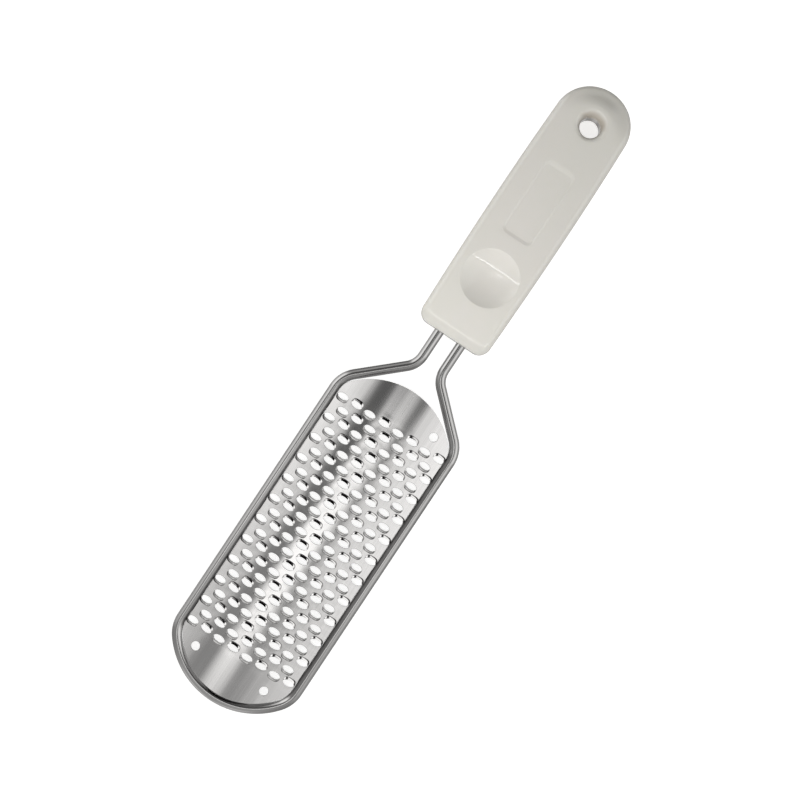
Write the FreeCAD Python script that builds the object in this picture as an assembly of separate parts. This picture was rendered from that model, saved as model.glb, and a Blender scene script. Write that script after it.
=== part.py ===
"""Foot file: an arched, pierced steel rasp blade welded between the rails of a
bent steel wire frame, whose two legs are moulded into a one-piece plastic handle.

Frame: millimetres, +Z up out of the cutting face, +Y towards the hanging end
of the handle.  The origin is the middle of the footprint, with z = 0 at the
lowest point, which is the flat back of the handle.
"""
import FreeCAD, Part
import math
import os

V = FreeCAD.Vector
os.makedirs("parts", exist_ok=True)

# ---------------------------------------------------------------- dimensions
LENGTH = 265.0                # tip of the wire loop to the end of the handle
HALF_LENGTH = LENGTH / 2.0

# wire frame: one round rod bent flat, its centreline in one plane
WIRE_D = 3.8
WIRE_R = WIRE_D / 2.0
WIRE_Z = 6.25                 # height of the plane of the rod's centreline
LEG_X = 4.69                  # half the distance between the two legs
LEG_MID = 0.18                # the legs sit slightly off the middle of the loop
LEG_TOP_Y = 96.0              # where the legs end inside the handle
NECK_Y = 11.22                # corner point where the legs splay
NECK_BEND_R = 8.6
SHOULDER_X = 25.1             # half the distance between the two rails
SHOULDER_Y = -7.66            # corner point where the splay meets the rail
SHOULDER_BEND_R = 10.6
TIP_ARC_R = 28.9              # centreline radius of the rounded tip
TIP_ARC_Y = -101.7            # centre of that arc
CORNER_R = 11.4               # centreline radius where the rails meet it
LEG_FLAT = 0.55               # depth of the flats pinched on each leg's end
LEG_FLAT_LEN = 9.0
LEG_FLAT_START = 82.0

# blade: thin sheet, formed to a round back with straight flanks, convex side up;
# its long edges butt against the inner flanks of the rails
SHEET_T = 0.4
ARCH_R = 48.0                 # radius of the back, on the top surface
FLANK = math.radians(17.4)    # slope of the straight flanks
BUTT = math.radians(15.0)     # the top surface meets the rod this far above its middle
BUTT_X = SHOULDER_X - WIRE_R * math.cos(BUTT)
BUTT_Z = WIRE_Z + WIRE_R * math.sin(BUTT)
BACK_X = ARCH_R * math.sin(FLANK)                 # where back and flank meet
ARCH_Z = BUTT_Z + (BUTT_X - BACK_X) * math.tan(FLANK) - ARCH_R * math.cos(FLANK)
BLADE_HALF_W = 24.2           # before the rails' shape is cut out of it
BLADE_NECK_R = 29.0           # plan radius of the end towards the handle
BLADE_NECK_Y = -27.0
BLADE_TIP_R = 27.0            # plan radius of the end inside the tip
BLADE_TIP_Y = -101.3
INDEX_HOLE_R = 1.65           # plain holes that located the blank in the press
INDEX_HOLES = [(15.1, -7.65), (14.7, -118.4), (-15.1, -118.4)]

# pierced teeth: rows of oval mouths, each with one raised cutting lip
COL_PITCH = 3.05              # half the pitch within a row, along the section
ROW_PITCH = 8.889             # from one row to the next of the same kind
ROW_A_Y = -13.56              # first row with teeth in the odd columns
ROW_A_COUNT = 12
ROW_B_COUNT = 11              # rows with the even columns, half way between
SKEW = math.radians(0.34)     # the tooth field sits slightly askew
SIDE_SHIFT = 0.2              # teeth that cut towards the handle sit this much on
MOUTH_A = 2.28                # half the mouth across the blade
MOUTH_B = 1.15                # half the mouth along the blade
LIP_FOOT_R = 2.40             # radius of the lip's foot
LIP_BACK = 0.30               # the foot's centre lies this far behind the mouth's
LIP_RISE = 1.0                # rise of the whole cap that the lip is cut from
LIP_T = 0.34                  # thickness of the drawn lip

# weld beads on the underside, in the corner between the sheet's edge and the rod
BEAD_R = 0.85
BEAD_X, BEAD_Z = 22.8, 6.0
BEAD_LEN = 3.0                # between the centres of its round ends
WELD_YS = (-18.0, -62.45, -106.9)

# handle: one moulding around the legs
HANDLE_T = 12.5
HANDLE_FRONT_Y = 25.7
HANDLE_WIDE_Y = 79.0
HANDLE_HALF_W = 15.16         # at its widest
SIDE_R_REAR = 1344.0          # side curve from the widest point to the end
SIDE_R_FRONT = 1789.0         # side curve from the widest point to the front
FRONT_CORNER_R = 4.4
EDGE_R = 2.7
HANG_R = 3.86
HANG_X, HANG_Y = 0.16, 117.1
HANG_MOUTH_FRONT = 2.6
HANG_MOUTH_BACK = 0.8
DOME_Y = 109.0                # the front face rolls away towards the far end,
DOME_START = 15.2             # beyond this radius about (0, DOME_Y),
DOME_R = 7.9                  # along an arc of this radius
DOME_STEEP = 32.0             # to this slope in degrees;
RIM_R = 8.0                   # a hollow arc of this radius then eases it
RIM_SLOPE = 20.0              # to this slope, which runs on to the rim
DISH_X, DISH_Y = 0.2, 51.45   # thumb rest
DISH_RIM_R = 10.85
DISH_DEPTH = 2.2
PANEL_X, PANEL_Y = -0.2, 83.83    # bare sunken panel
PANEL_W, PANEL_L = 12.6, 30.75
PANEL_CORNER_R = 1.7
PANEL_WALL = 0.8
PANEL_DEPTH = 0.25


# ---------------------------------------------------------------- wire frame
def tangent_path(points, radii):
    """Straight runs joined by tangent arcs; radii are for the inner points."""
    edges = []
    start = points[0]
    for i in range(1, len(points) - 1):
        p = points[i]
        a = (points[i - 1] - p).normalize()
        b = (points[i + 1] - p).normalize()
        half = a.getAngle(b) / 2.0
        cut = radii[i - 1] / math.tan(half)
        mid_dir = (a + b).normalize()
        centre = p + mid_dir * (radii[i - 1] / math.sin(half))
        t0 = p + a * cut
        t1 = p + b * cut
        mid = centre - mid_dir * radii[i - 1]
        edges.append(Part.LineSegment(start, t0).toShape())
        edges.append(Part.Arc(t0, mid, t1).toShape())
        start = t1
    edges.append(Part.LineSegment(start, points[-1]).toShape())
    return edges, start


def wire_frame():
    z = WIRE_Z
    # the corner arc is tangent to the rail and to the inside of the tip arc
    cx = SHOULDER_X - CORNER_R
    reach = TIP_ARC_R - CORNER_R
    cy = TIP_ARC_Y - math.sqrt(reach ** 2 - cx ** 2)
    ux, uy = cx / reach, (cy - TIP_ARC_Y) / reach
    jx, jy = TIP_ARC_R * ux, TIP_ARC_Y + TIP_ARC_R * uy
    half = math.atan2(-uy, ux) / 2.0
    edges = []
    right, _ = tangent_path(
        [V(LEG_MID + LEG_X, LEG_TOP_Y, z), V(LEG_MID + LEG_X, NECK_Y, z),
         V(SHOULDER_X, SHOULDER_Y, z), V(SHOULDER_X, cy, z)],
        [NECK_BEND_R, SHOULDER_BEND_R])
    edges += right
    edges.append(Part.Arc(
        V(SHOULDER_X, cy, z),
        V(cx + CORNER_R * math.cos(-half), cy + CORNER_R * math.sin(-half), z),
        V(jx, jy, z)).toShape())
    edges.append(Part.Arc(V(jx, jy, z), V(0, TIP_ARC_Y - TIP_ARC_R, z), V(-jx, jy, z)).toShape())
    edges.append(Part.Arc(
        V(-jx, jy, z),
        V(-cx - CORNER_R * math.cos(-half), cy + CORNER_R * math.sin(-half), z),
        V(-SHOULDER_X, cy, z)).toShape())
    left, _ = tangent_path(
        [V(-SHOULDER_X, cy, z), V(-SHOULDER_X, SHOULDER_Y, z),
         V(LEG_MID - LEG_X, NECK_Y, z), V(LEG_MID - LEG_X, LEG_TOP_Y, z)],
        [SHOULDER_BEND_R, NECK_BEND_R])
    edges += left
    path = Part.Wire(edges)
    section = Part.Wire([Part.Circle(V(LEG_MID + LEG_X, LEG_TOP_Y, z), V(0, 1, 0), WIRE_R).toShape()])
    rod = path.makePipeShell([section], True, False)
    want = math.pi * WIRE_R ** 2 * path.Length
    print("rod length %.1f volume %.1f of %.1f valid %s" % (path.Length, rod.Volume, want, rod.isValid()))
    # flats pinched on the leg ends key the rod into the moulding
    cuts = []
    for sx in (-1, 1):
        for sz in (-1, 1):
            b = Part.makeBox(6.0, LEG_FLAT_LEN, 3.0)
            b.translate(V(LEG_MID + sx * LEG_X - 3.0, LEG_FLAT_START,
                          z + (WIRE_R - LEG_FLAT if sz > 0 else -(WIRE_R - LEG_FLAT) - 3.0)))
            cuts.append(b)
    return rod.cut(cuts)


# --------------------------------------------------------------------- blade
def on_arch(x_along, y):
    """Placement on the top surface: x_along is measured round the section."""
    a = max(-FLANK, min(FLANK, x_along / ARCH_R))
    beyond = x_along - a * ARCH_R
    pos = V(ARCH_R * math.sin(a) + beyond * math.cos(a), y,
            ARCH_Z + ARCH_R * math.cos(a) - beyond * math.sin(a))
    return FreeCAD.Placement(pos, FreeCAD.Rotation(V(0, 1, 0), math.degrees(a)))


def sheet_section(y):
    """Closed cross-section of the sheet: round back and two straight flanks."""
    w = BLADE_HALF_W + 0.6
    sa, ca = math.sin(FLANK), math.cos(FLANK)
    run = (w - BACK_X) / ca
    def pt(sx, r, extra):
        return V(sx * (r * sa + extra * ca), y, ARCH_Z + r * ca - extra * sa)
    r0, r1 = ARCH_R, ARCH_R - SHEET_T
    return Part.Wire([
        Part.LineSegment(pt(-1, r0, run), pt(-1, r0, 0)).toShape(),
        Part.Arc(pt(-1, r0, 0), V(0, y, ARCH_Z + r0), pt(1, r0, 0)).toShape(),
        Part.LineSegment(pt(1, r0, 0), pt(1, r0, run)).toShape(),
        Part.LineSegment(pt(1, r0, run), pt(1, r1, run)).toShape(),
        Part.LineSegment(pt(1, r1, run), pt(1, r1, 0)).toShape(),
        Part.Arc(pt(1, r1, 0), V(0, y, ARCH_Z + r1), pt(-1, r1, 0)).toShape(),
        Part.LineSegment(pt(-1, r1, 0), pt(-1, r1, run)).toShape(),
        Part.LineSegment(pt(-1, r1, run), pt(-1, r0, run)).toShape()])


def tooth_places():
    """(x along the arch, y, lip side) of every tooth; side -1 is the tip side."""
    middle = ROW_A_Y - ROW_PITCH * (ROW_A_COUNT - 1) / 2.0
    places = []
    for i in range(ROW_A_COUNT):
        y = ROW_A_Y - ROW_PITCH * i
        for c in range(-7, 8, 2):
            side = -1 if ((c + 7) // 2) % 2 == 0 else 1
            places.append((c * COL_PITCH, y, side))
    for i in range(ROW_B_COUNT):
        y = ROW_A_Y - ROW_PITCH * (i + 0.5)
        for c in range(-6, 7, 2):
            side = -1 if ((c + 6) // 2) % 2 == 0 else 1
            places.append((c * COL_PITCH, y, side))
    out = []
    for x, y, side in places:
        dx, dy = x, y - middle
        out.append((dx * math.cos(SKEW) + dy * math.sin(SKEW),
                    middle - dx * math.sin(SKEW) + dy * math.cos(SKEW)
                    + (SIDE_SHIFT if side > 0 else 0.0), side))
    return out


def tooth_tools():
    """The raised cap and the hollow that is cut from it, at the local origin."""
    ball_r = (LIP_FOOT_R ** 2 + LIP_RISE ** 2) / (2 * LIP_RISE)
    centre = V(0, LIP_BACK, LIP_RISE - ball_r)
    keep = Part.makeBox(6, 3, 1.6, V(-3, -3, -0.28))
    cap = Part.makeSphere(ball_r, centre).common(keep)
    hollow_keep = Part.makeBox(6, 3.0, 2.6, V(-3, -3, -1.1))
    hollow = Part.makeSphere(ball_r - LIP_T, centre).common(hollow_keep)
    e = Part.Ellipse(V(0, 0, -1.1), MOUTH_A, MOUTH_B).toShape()
    mouth = Part.Face(Part.Wire([e])).extrude(V(0, 0, 2.6))
    return cap, hollow.fuse(mouth)


def grater_blade(rod):
    # plan outline between the two end arcs and straight sides inside the rails
    w = BLADE_HALF_W
    y_n = BLADE_NECK_Y + math.sqrt(BLADE_NECK_R ** 2 - w ** 2)
    y_t = BLADE_TIP_Y - math.sqrt(BLADE_TIP_R ** 2 - w ** 2)
    z0, h = ARCH_Z + ARCH_R - 14.0, 20.0
    outline = Part.Wire([
        Part.Arc(V(w, y_n, z0), V(0, BLADE_NECK_Y + BLADE_NECK_R, z0), V(-w, y_n, z0)).toShape(),
        Part.LineSegment(V(-w, y_n, z0), V(-w, y_t, z0)).toShape(),
        Part.Arc(V(-w, y_t, z0), V(0, BLADE_TIP_Y - BLADE_TIP_R, z0), V(w, y_t, z0)).toShape(),
        Part.LineSegment(V(w, y_t, z0), V(w, y_n, z0)).toShape()])
    plan = Part.Face(outline).extrude(V(0, 0, h))
    y0 = BLADE_TIP_Y - BLADE_TIP_R - 2.0
    length = BLADE_NECK_Y + BLADE_NECK_R + 2.0 - y0
    sheet = Part.Face(sheet_section(y0)).extrude(V(0, length, 0)).common(plan)

    cap, tool = tooth_tools()
    caps, tools = [], []
    for x, y, side in tooth_places():
        place = on_arch(x, y)
        if side > 0:
            place = place.multiply(FreeCAD.Placement(V(0, 0, 0), FreeCAD.Rotation(V(0, 0, 1), 180)))
        for source, bag in ((cap, caps), (tool, tools)):
            s = source.copy()
            s.Placement = place.multiply(source.Placement)
            bag.append(s)
    for x, y in INDEX_HOLES:
        tools.append(Part.makeCylinder(INDEX_HOLE_R, 8.0, V(x, y, ARCH_Z + ARCH_R - 7.0), V(0, 0, 1)))
    print("teeth", len(caps))
    return sheet.cut(rod).fuse(caps).cut(tools).cut(rod)


# --------------------------------------------------------------------- welds
def weld_beads(rod, blade):
    """Short round-ended beads that fill the corner under the sheet's edge."""
    out = []
    for sx in (-1, 1):
        for y in WELD_YS:
            p, q = V(sx * BEAD_X, y - BEAD_LEN / 2, BEAD_Z), V(sx * BEAD_X, y + BEAD_LEN / 2, BEAD_Z)
            bead = Part.makeCylinder(BEAD_R, BEAD_LEN, p, V(0, 1, 0))
            bead = bead.fuse([Part.makeSphere(BEAD_R, p), Part.makeSphere(BEAD_R, q)]).removeSplitter()
            bead = bead.cut(rod).cut(blade)
            # nothing is left of it above the sheet
            whole = sorted(bead.Solids, key=lambda x: -x.Volume)
            print("bead", sx, y, [round(x.Volume, 3) for x in whole])
            out.append(whole[0])
    return out


# -------------------------------------------------------------------- handle
def handle_outline(z):
    """Plan outline: round far end, faintly bellied sides, square front."""
    R, wide = SIDE_R_REAR, HANDLE_HALF_W
    rt = 14.6
    for _ in range(30):   # end arc tangent to both sides, reaching the end
        s = (HALF_LENGTH - HANDLE_WIDE_Y - rt) / (R - rt)
        phi = math.asin(s)
        rt = (wide - R * (1 - math.cos(phi))) / math.cos(phi)
    yc = HALF_LENGTH - rt
    px, py = rt * math.cos(phi), yc + rt * math.sin(phi)
    mx, my = wide - R * (1 - math.cos(phi / 2)), HANDLE_WIDE_Y + R * math.sin(phi / 2)
    psi = math.asin((HANDLE_WIDE_Y - HANDLE_FRONT_Y) / SIDE_R_FRONT)
    fx = wide - SIDE_R_FRONT * (1 - math.cos(psi))
    gx = wide - SIDE_R_FRONT * (1 - math.cos(psi / 2))
    gy = HANDLE_WIDE_Y - SIDE_R_FRONT * math.sin(psi / 2)
    f = HANDLE_FRONT_Y
    return Part.Wire([
        Part.LineSegment(V(-fx, f, z), V(fx, f, z)).toShape(),
        Part.Arc(V(fx, f, z), V(gx, gy, z), V(wide, HANDLE_WIDE_Y, z)).toShape(),
        Part.Arc(V(wide, HANDLE_WIDE_Y, z), V(mx, my, z), V(px, py, z)).toShape(),
        Part.Arc(V(px, py, z), V(0, HALF_LENGTH, z), V(-px, py, z)).toShape(),
        Part.Arc(V(-px, py, z), V(-mx, my, z), V(-wide, HANDLE_WIDE_Y, z)).toShape(),
        Part.Arc(V(-wide, HANDLE_WIDE_Y, z), V(-gx, gy, z), V(-fx, f, z)).toShape()])


def rounded_rect(w, h, r, cx, cy, z):
    a, b = w / 2.0, h / 2.0
    k = r * (1 - math.sqrt(0.5))
    def ln(x0, y0, x1, y1):
        return Part.LineSegment(V(cx + x0, cy + y0, z), V(cx + x1, cy + y1, z)).toShape()
    def arc(x0, y0, xm, ym, x1, y1):
        return Part.Arc(V(cx + x0, cy + y0, z), V(cx + xm, cy + ym, z), V(cx + x1, cy + y1, z)).toShape()
    return Part.Wire([
        ln(-a + r, -b, a - r, -b), arc(a - r, -b, a - k, -b + k, a, -b + r),
        ln(a, -b + r, a, b - r), arc(a, b - r, a - k, b - k, a - r, b),
        ln(a - r, b, -a + r, b), arc(-a + r, b, -a + k, b - k, -a, b - r),
        ln(-a, b - r, -a, -b + r), arc(-a, -b + r, -a + k, -b + k, -a + r, -b)])


def on_outline(edge):
    """True for an edge of the front face that borders the side wall."""
    u = (edge.FirstParameter + edge.LastParameter) / 2
    p = edge.valueAt(u)
    wall = Part.Face(handle_outline(0.0)).OuterWire
    near = wall.distToShape(Part.Vertex(V(p.x, p.y, 0)))[0]
    corner = p.y < HANDLE_FRONT_Y + FRONT_CORNER_R and abs(p.x) > 8
    return near < 0.01 or corner


def handle(rod):
    t = HANDLE_T
    body = Part.Face(handle_outline(0.0)).extrude(V(0, 0, t))
    corners = [e for e in body.Edges
               if abs(e.BoundBox.ZLength - t) < 1e-6 and e.BoundBox.YMax < HANDLE_FRONT_Y + 0.01]
    body = body.makeFillet(FRONT_CORNER_R, corners)
    # the far end of the front face rolls away and eases again towards the rim
    steep, flat = math.radians(DOME_STEEP), math.radians(RIM_SLOPE)

    def on_roll(r, z, radius, angle, side):
        """A point of an arc that is level at (r, z); side 1 curves down, -1 curves up."""
        return V(0, r + radius * math.sin(angle), z - side * radius * (1 - math.cos(angle)))

    r0 = DOME_Y + DOME_START
    a = on_roll(r0, t, DOME_R, 0, 1)
    b = on_roll(r0, t, DOME_R, steep / 2, 1)
    c = on_roll(r0, t, DOME_R, steep, 1)
    # the hollow arc's centre is above the face, on the normal at c
    hub = V(0, c.y + RIM_R * math.sin(steep), c.z + RIM_R * math.cos(steep))
    mid_a = (steep + flat) / 2
    d = V(0, hub.y - RIM_R * math.sin(mid_a), hub.z - RIM_R * math.cos(mid_a))
    e = V(0, hub.y - RIM_R * math.sin(flat), hub.z - RIM_R * math.cos(flat))
    far = DOME_Y + 26.0
    f = V(0, far, e.z - (far - e.y) * math.tan(flat))
    g = V(0, far, t + 1)
    h = V(0, r0, t + 1)
    profile = Part.Wire([Part.Arc(a, b, c).toShape(), Part.Arc(c, d, e).toShape(),
                         Part.LineSegment(e, f).toShape(), Part.LineSegment(f, g).toShape(),
                         Part.LineSegment(g, h).toShape(), Part.LineSegment(h, a).toShape()])
    roll = Part.Face(profile).revolve(V(0, DOME_Y, 0), V(0, 0, 1), 180)
    roll.rotate(V(0, DOME_Y, 0), V(0, 0, 1), -90)
    body = body.cut(roll)
    low = [e for e in body.Edges if e.BoundBox.ZMax < 0.01]
    high = [e for e in body.Edges if e.BoundBox.ZMin > t / 2 and on_outline(e)]
    body = body.makeFillet(EDGE_R, low + high)
    # the bore of the hanging hole with rounded mouths
    body = body.cut(Part.makeCylinder(HANG_R, t + 4, V(HANG_X, HANG_Y, -2), V(0, 0, 1)))
    rims = [e for e in body.Edges
            if abs(e.BoundBox.XLength - 2 * HANG_R) < 0.02 and abs(e.BoundBox.YLength - 2 * HANG_R) < 0.02]
    front = [e for e in rims if e.BoundBox.ZMax > t / 2]
    back = [e for e in rims if e.BoundBox.ZMax < t / 2]
    body = body.makeFillet(HANG_MOUTH_FRONT, front)
    back = [e for e in body.Edges
            if abs(e.BoundBox.XLength - 2 * HANG_R) < 0.02 and e.BoundBox.ZMax < 0.1]
    body = body.makeFillet(HANG_MOUTH_BACK, back)
    # thumb rest
    ball = (DISH_RIM_R ** 2 + DISH_DEPTH ** 2) / (2 * DISH_DEPTH)
    body = body.cut(Part.makeSphere(ball, V(DISH_X, DISH_Y, t + ball - DISH_DEPTH)))
    # sunken panel with sloped walls, carried on above the face for a clean cut
    grow = 0.3
    slope = PANEL_WALL / PANEL_DEPTH
    low = rounded_rect(PANEL_W - 2 * PANEL_WALL, PANEL_L - 2 * PANEL_WALL,
                       PANEL_CORNER_R - 0.5, PANEL_X, PANEL_Y, t - PANEL_DEPTH)
    high = rounded_rect(PANEL_W + 2 * grow * slope, PANEL_L + 2 * grow * slope,
                        PANEL_CORNER_R + 0.5, PANEL_X, PANEL_Y, t + grow)
    body = body.cut(Part.makeLoft([low, high], True, True))
    return body.cut(rod)


# --------------------------------------------------------------------- build
def solids_of(shape):
    return shape.Solids


rod = wire_frame()
blade = grater_blade(rod)
beads = weld_beads(rod, blade)
grip = handle(rod)

nodes = {
    "wire_frame": rod,
    "grater_blade": blade,
    "handle": grip,
    "blade_welds": Part.makeCompound(beads),
}
for name, shape in nodes.items():
    s = shape.Solids
    out = s[0] if len(s) == 1 else Part.makeCompound(s)
    b = out.BoundBox
    print("%-13s solids %d valid %s vol %.1f box x %.2f %.2f y %.2f %.2f z %.2f %.2f" % (
        name, len(s), out.isValid(), out.Volume, b.XMin, b.XMax, b.YMin, b.YMax, b.ZMin, b.ZMax))
    out.exportStep("parts/%s.step" % name)
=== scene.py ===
import math

import bpy
import numpy as np
from mathutils import Matrix, Vector
from mathutils.geometry import delaunay_2d_cdt


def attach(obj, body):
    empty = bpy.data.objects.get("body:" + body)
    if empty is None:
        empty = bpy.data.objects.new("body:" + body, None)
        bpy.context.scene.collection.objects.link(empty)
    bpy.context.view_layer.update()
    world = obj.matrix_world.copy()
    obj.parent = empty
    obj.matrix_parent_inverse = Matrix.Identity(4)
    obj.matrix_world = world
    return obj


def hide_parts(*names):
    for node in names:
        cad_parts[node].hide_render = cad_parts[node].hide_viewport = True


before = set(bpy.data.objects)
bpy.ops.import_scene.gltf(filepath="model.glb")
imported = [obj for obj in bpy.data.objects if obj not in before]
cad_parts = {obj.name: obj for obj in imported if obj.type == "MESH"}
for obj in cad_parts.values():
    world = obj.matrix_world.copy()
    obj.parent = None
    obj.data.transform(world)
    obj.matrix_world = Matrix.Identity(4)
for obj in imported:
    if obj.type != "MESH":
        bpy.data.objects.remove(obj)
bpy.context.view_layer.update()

MM = 0.001
TAU = 2 * math.pi

# ------------------------------------------------------------------ dimensions
HALF_LENGTH = 132.5
WIRE_R, WIRE_Z = 1.9, 6.25
LEG_X, LEG_MID, LEG_TOP_Y = 4.69, 0.18, 96.0
NECK_Y, NECK_BEND_R = 11.22, 8.6
SHOULDER_X, SHOULDER_Y, SHOULDER_BEND_R = 25.1, -7.66, 10.6
TIP_ARC_R, TIP_ARC_Y, CORNER_R = 28.9, -101.7, 11.4
LEG_FLAT, LEG_FLAT_START, LEG_FLAT_LEN = 0.55, 82.0, 9.0
SHEET_T, ARCH_R = 0.4, 48.0
FLANK, BUTT = math.radians(17.4), math.radians(15.0)
BUTT_X = SHOULDER_X - WIRE_R * math.cos(BUTT)
BUTT_Z = WIRE_Z + WIRE_R * math.sin(BUTT)
BACK_X = ARCH_R * math.sin(FLANK)
ARCH_Z = BUTT_Z + (BUTT_X - BACK_X) * math.tan(FLANK) - ARCH_R * math.cos(FLANK)
BOW_R = 250.0                              # the flanks are not quite flat
SEAM = 0.10                                # open line between the sheet's edge and the rod
BLADE_NECK_R, BLADE_NECK_Y = 29.0, -27.0
BLADE_TIP_R, BLADE_TIP_Y = 27.0, -101.3
INDEX_HOLE_R = 1.65
INDEX_HOLES = [(15.1, -7.65), (14.7, -118.4), (-15.1, -118.4)]
COL_PITCH, ROW_PITCH = 3.05, 8.889
ROW_A_Y, ROW_A_COUNT, ROW_B_COUNT = -13.56, 12, 11
SKEW = math.radians(0.34)
SIDE_SHIFT = 0.2
BEAD_R, BEAD_X, BEAD_Z, BEAD_LEN = 0.85, 22.8, 6.0, 3.0
WELD_YS = (-18.0, -62.45, -106.9)
HANDLE_T = 12.5
HANDLE_FRONT_Y, HANDLE_WIDE_Y, HANDLE_HALF_W = 25.7, 79.0, 15.16
SIDE_R_REAR, SIDE_R_FRONT, FRONT_CORNER_R = 1344.0, 1789.0, 4.4
EDGE_R = 2.7
HANG_R, HANG_X, HANG_Y, HANG_MOUTH = 3.86, 0.16, 117.1, 2.6
END_SLOPES = ((7.1, 0.0), (7.7, 0.05), (8.2, 0.17), (8.7, 0.31), (9.4, 0.46), (10.2, 0.60), (11.0, 0.75), (11.4, 0.80),
              (11.8, 0.68), (12.2, 0.46), (12.7, 0.31), (15.6, 0.31))   # the front face rolls away towards the far end
DISH_X, DISH_Y, DISH_RIM_R, DISH_DEPTH = 0.2, 51.45, 10.85, 2.2
PANEL_X, PANEL_Y, PANEL_W, PANEL_L = -0.2, 83.83, 12.6, 30.75
PANEL_CORNER_R, PANEL_WALL, PANEL_DEPTH = 1.7, 0.8, 0.25


# ---------------------------------------------------------------------- camera
def make_camera():
    data = bpy.data.cameras.new("camera")
    cam = bpy.data.objects.new("camera", data)
    bpy.context.scene.collection.objects.link(cam)
    turn = math.radians(33.595)
    right = Vector((math.cos(turn), math.sin(turn), 0))
    up = Vector((-math.sin(turn), math.cos(turn), 0))
    m = Matrix.Identity(4)
    for i, axis in enumerate((right, up, Vector((0, 0, 1)))):
        m[0][i], m[1][i], m[2][i] = axis
    height = 735.0
    m.translation = Vector((-2.6, -3.1, WIRE_Z + height)) * MM
    cam.matrix_world = m
    data.sensor_width = 36.0
    data.lens = 36.0 * height / 291.4
    data.clip_start, data.clip_end = 0.01, 50.0
    bpy.context.scene.camera = cam
    return cam


camera = make_camera()


# ---------------------------------------------------------------- mesh helpers
class Mesh:
    """Collects vertices and faces; every corner may carry its own normal, and every vertex its wear (on the handle,
    painted shade at the front end) and its painted shade.
    """

    def __init__(self):
        self.v, self.f, self.n, self.uv, self.attr, self.dark = [], [], [], [], [], []
        self.count = 0

    def add(self, pts, uv=None, attr=None, dark=0.0):
        pts = np.asarray(pts, float).reshape(-1, 3)
        start = self.count
        self.v.append(pts)
        self.uv.append(np.zeros((len(pts), 2)) if uv is None else np.asarray(uv, float).reshape(-1, 2))
        self.attr.append(np.zeros(len(pts)) if attr is None else np.broadcast_to(np.asarray(attr, float), (len(pts),)).copy())
        self.dark.append(np.broadcast_to(np.asarray(dark, float), (len(pts),)).copy())
        self.count += len(pts)
        return np.arange(start, self.count)

    def faces(self, quads, normals=None):
        """quads: (k, 3 or 4) vertex numbers; normals: for each face, one vector per corner, or None."""
        for q in quads:
            self.f.append(tuple(int(i) for i in q))
        if normals is None:
            self.n.extend([None] * len(quads))
        else:
            self.n.extend(normals)

    def build(self, name, smooth=True):
        v = np.concatenate(self.v) * MM
        uv = np.concatenate(self.uv)
        attr = np.concatenate(self.attr)
        me = bpy.data.meshes.new(name)
        me.from_pydata(v.tolist(), [], self.f)
        me.polygons.foreach_set("use_smooth", [smooth] * len(self.f))
        idx = np.zeros(len(me.loops), np.int32)
        me.loops.foreach_get("vertex_index", idx)
        layer = me.uv_layers.new(name="UVMap")
        layer.data.foreach_set("uv", uv[idx].astype(np.float32).ravel())
        a = me.attributes.new("wear_and_shade", "FLOAT", "POINT")
        a.data.foreach_set("value", attr.astype(np.float32))
        a = me.attributes.new("painted_shade", "FLOAT", "POINT")
        a.data.foreach_set("value", np.concatenate(self.dark).astype(np.float32))
        me.update()
        if any(n is not None for n in self.n):
            auto = np.zeros(len(me.loops) * 3, np.float32)
            me.corner_normals.foreach_get("vector", auto)
            out = auto.reshape(-1, 3).copy()
            k = 0
            for face, n in zip(self.f, self.n):
                if n is not None:
                    out[k:k + len(face)] = n
                k += len(face)
            me.normals_split_custom_set(out.tolist())
        ob = bpy.data.objects.new(name, me)
        bpy.context.scene.collection.objects.link(ob)
        return ob


def strip(a, b, closed=True):
    """Quads between two rings of vertex numbers; seen from outside, b lies to the left of the way a runs."""
    k = len(a)
    out = []
    for i in range(k if closed else k - 1):
        j = (i + 1) % k
        out.append((a[i], a[j], b[j], b[i]))
    return out


def unit(v):
    v = np.asarray(v, float)
    return v / np.maximum(np.linalg.norm(v, axis=-1, keepdims=True), 1e-12)


def smooth(x):
    x = np.clip(x, 0, 1)
    return x * x * (3 - 2 * x)


def inside_polygon(px, py, poly):
    """Even-odd test of many points against one closed polygon."""
    inside = np.zeros(len(px), bool)
    x0, y0 = poly[:, 0], poly[:, 1]
    x1, y1 = np.roll(x0, -1), np.roll(y0, -1)
    for a, b, c, d in zip(x0, y0, x1, y1):
        if b == d:
            continue
        hit = (b > py) != (d > py)
        cross = a + (py - b) * (c - a) / (d - b)
        inside ^= hit & (px < cross)
    return inside


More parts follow.
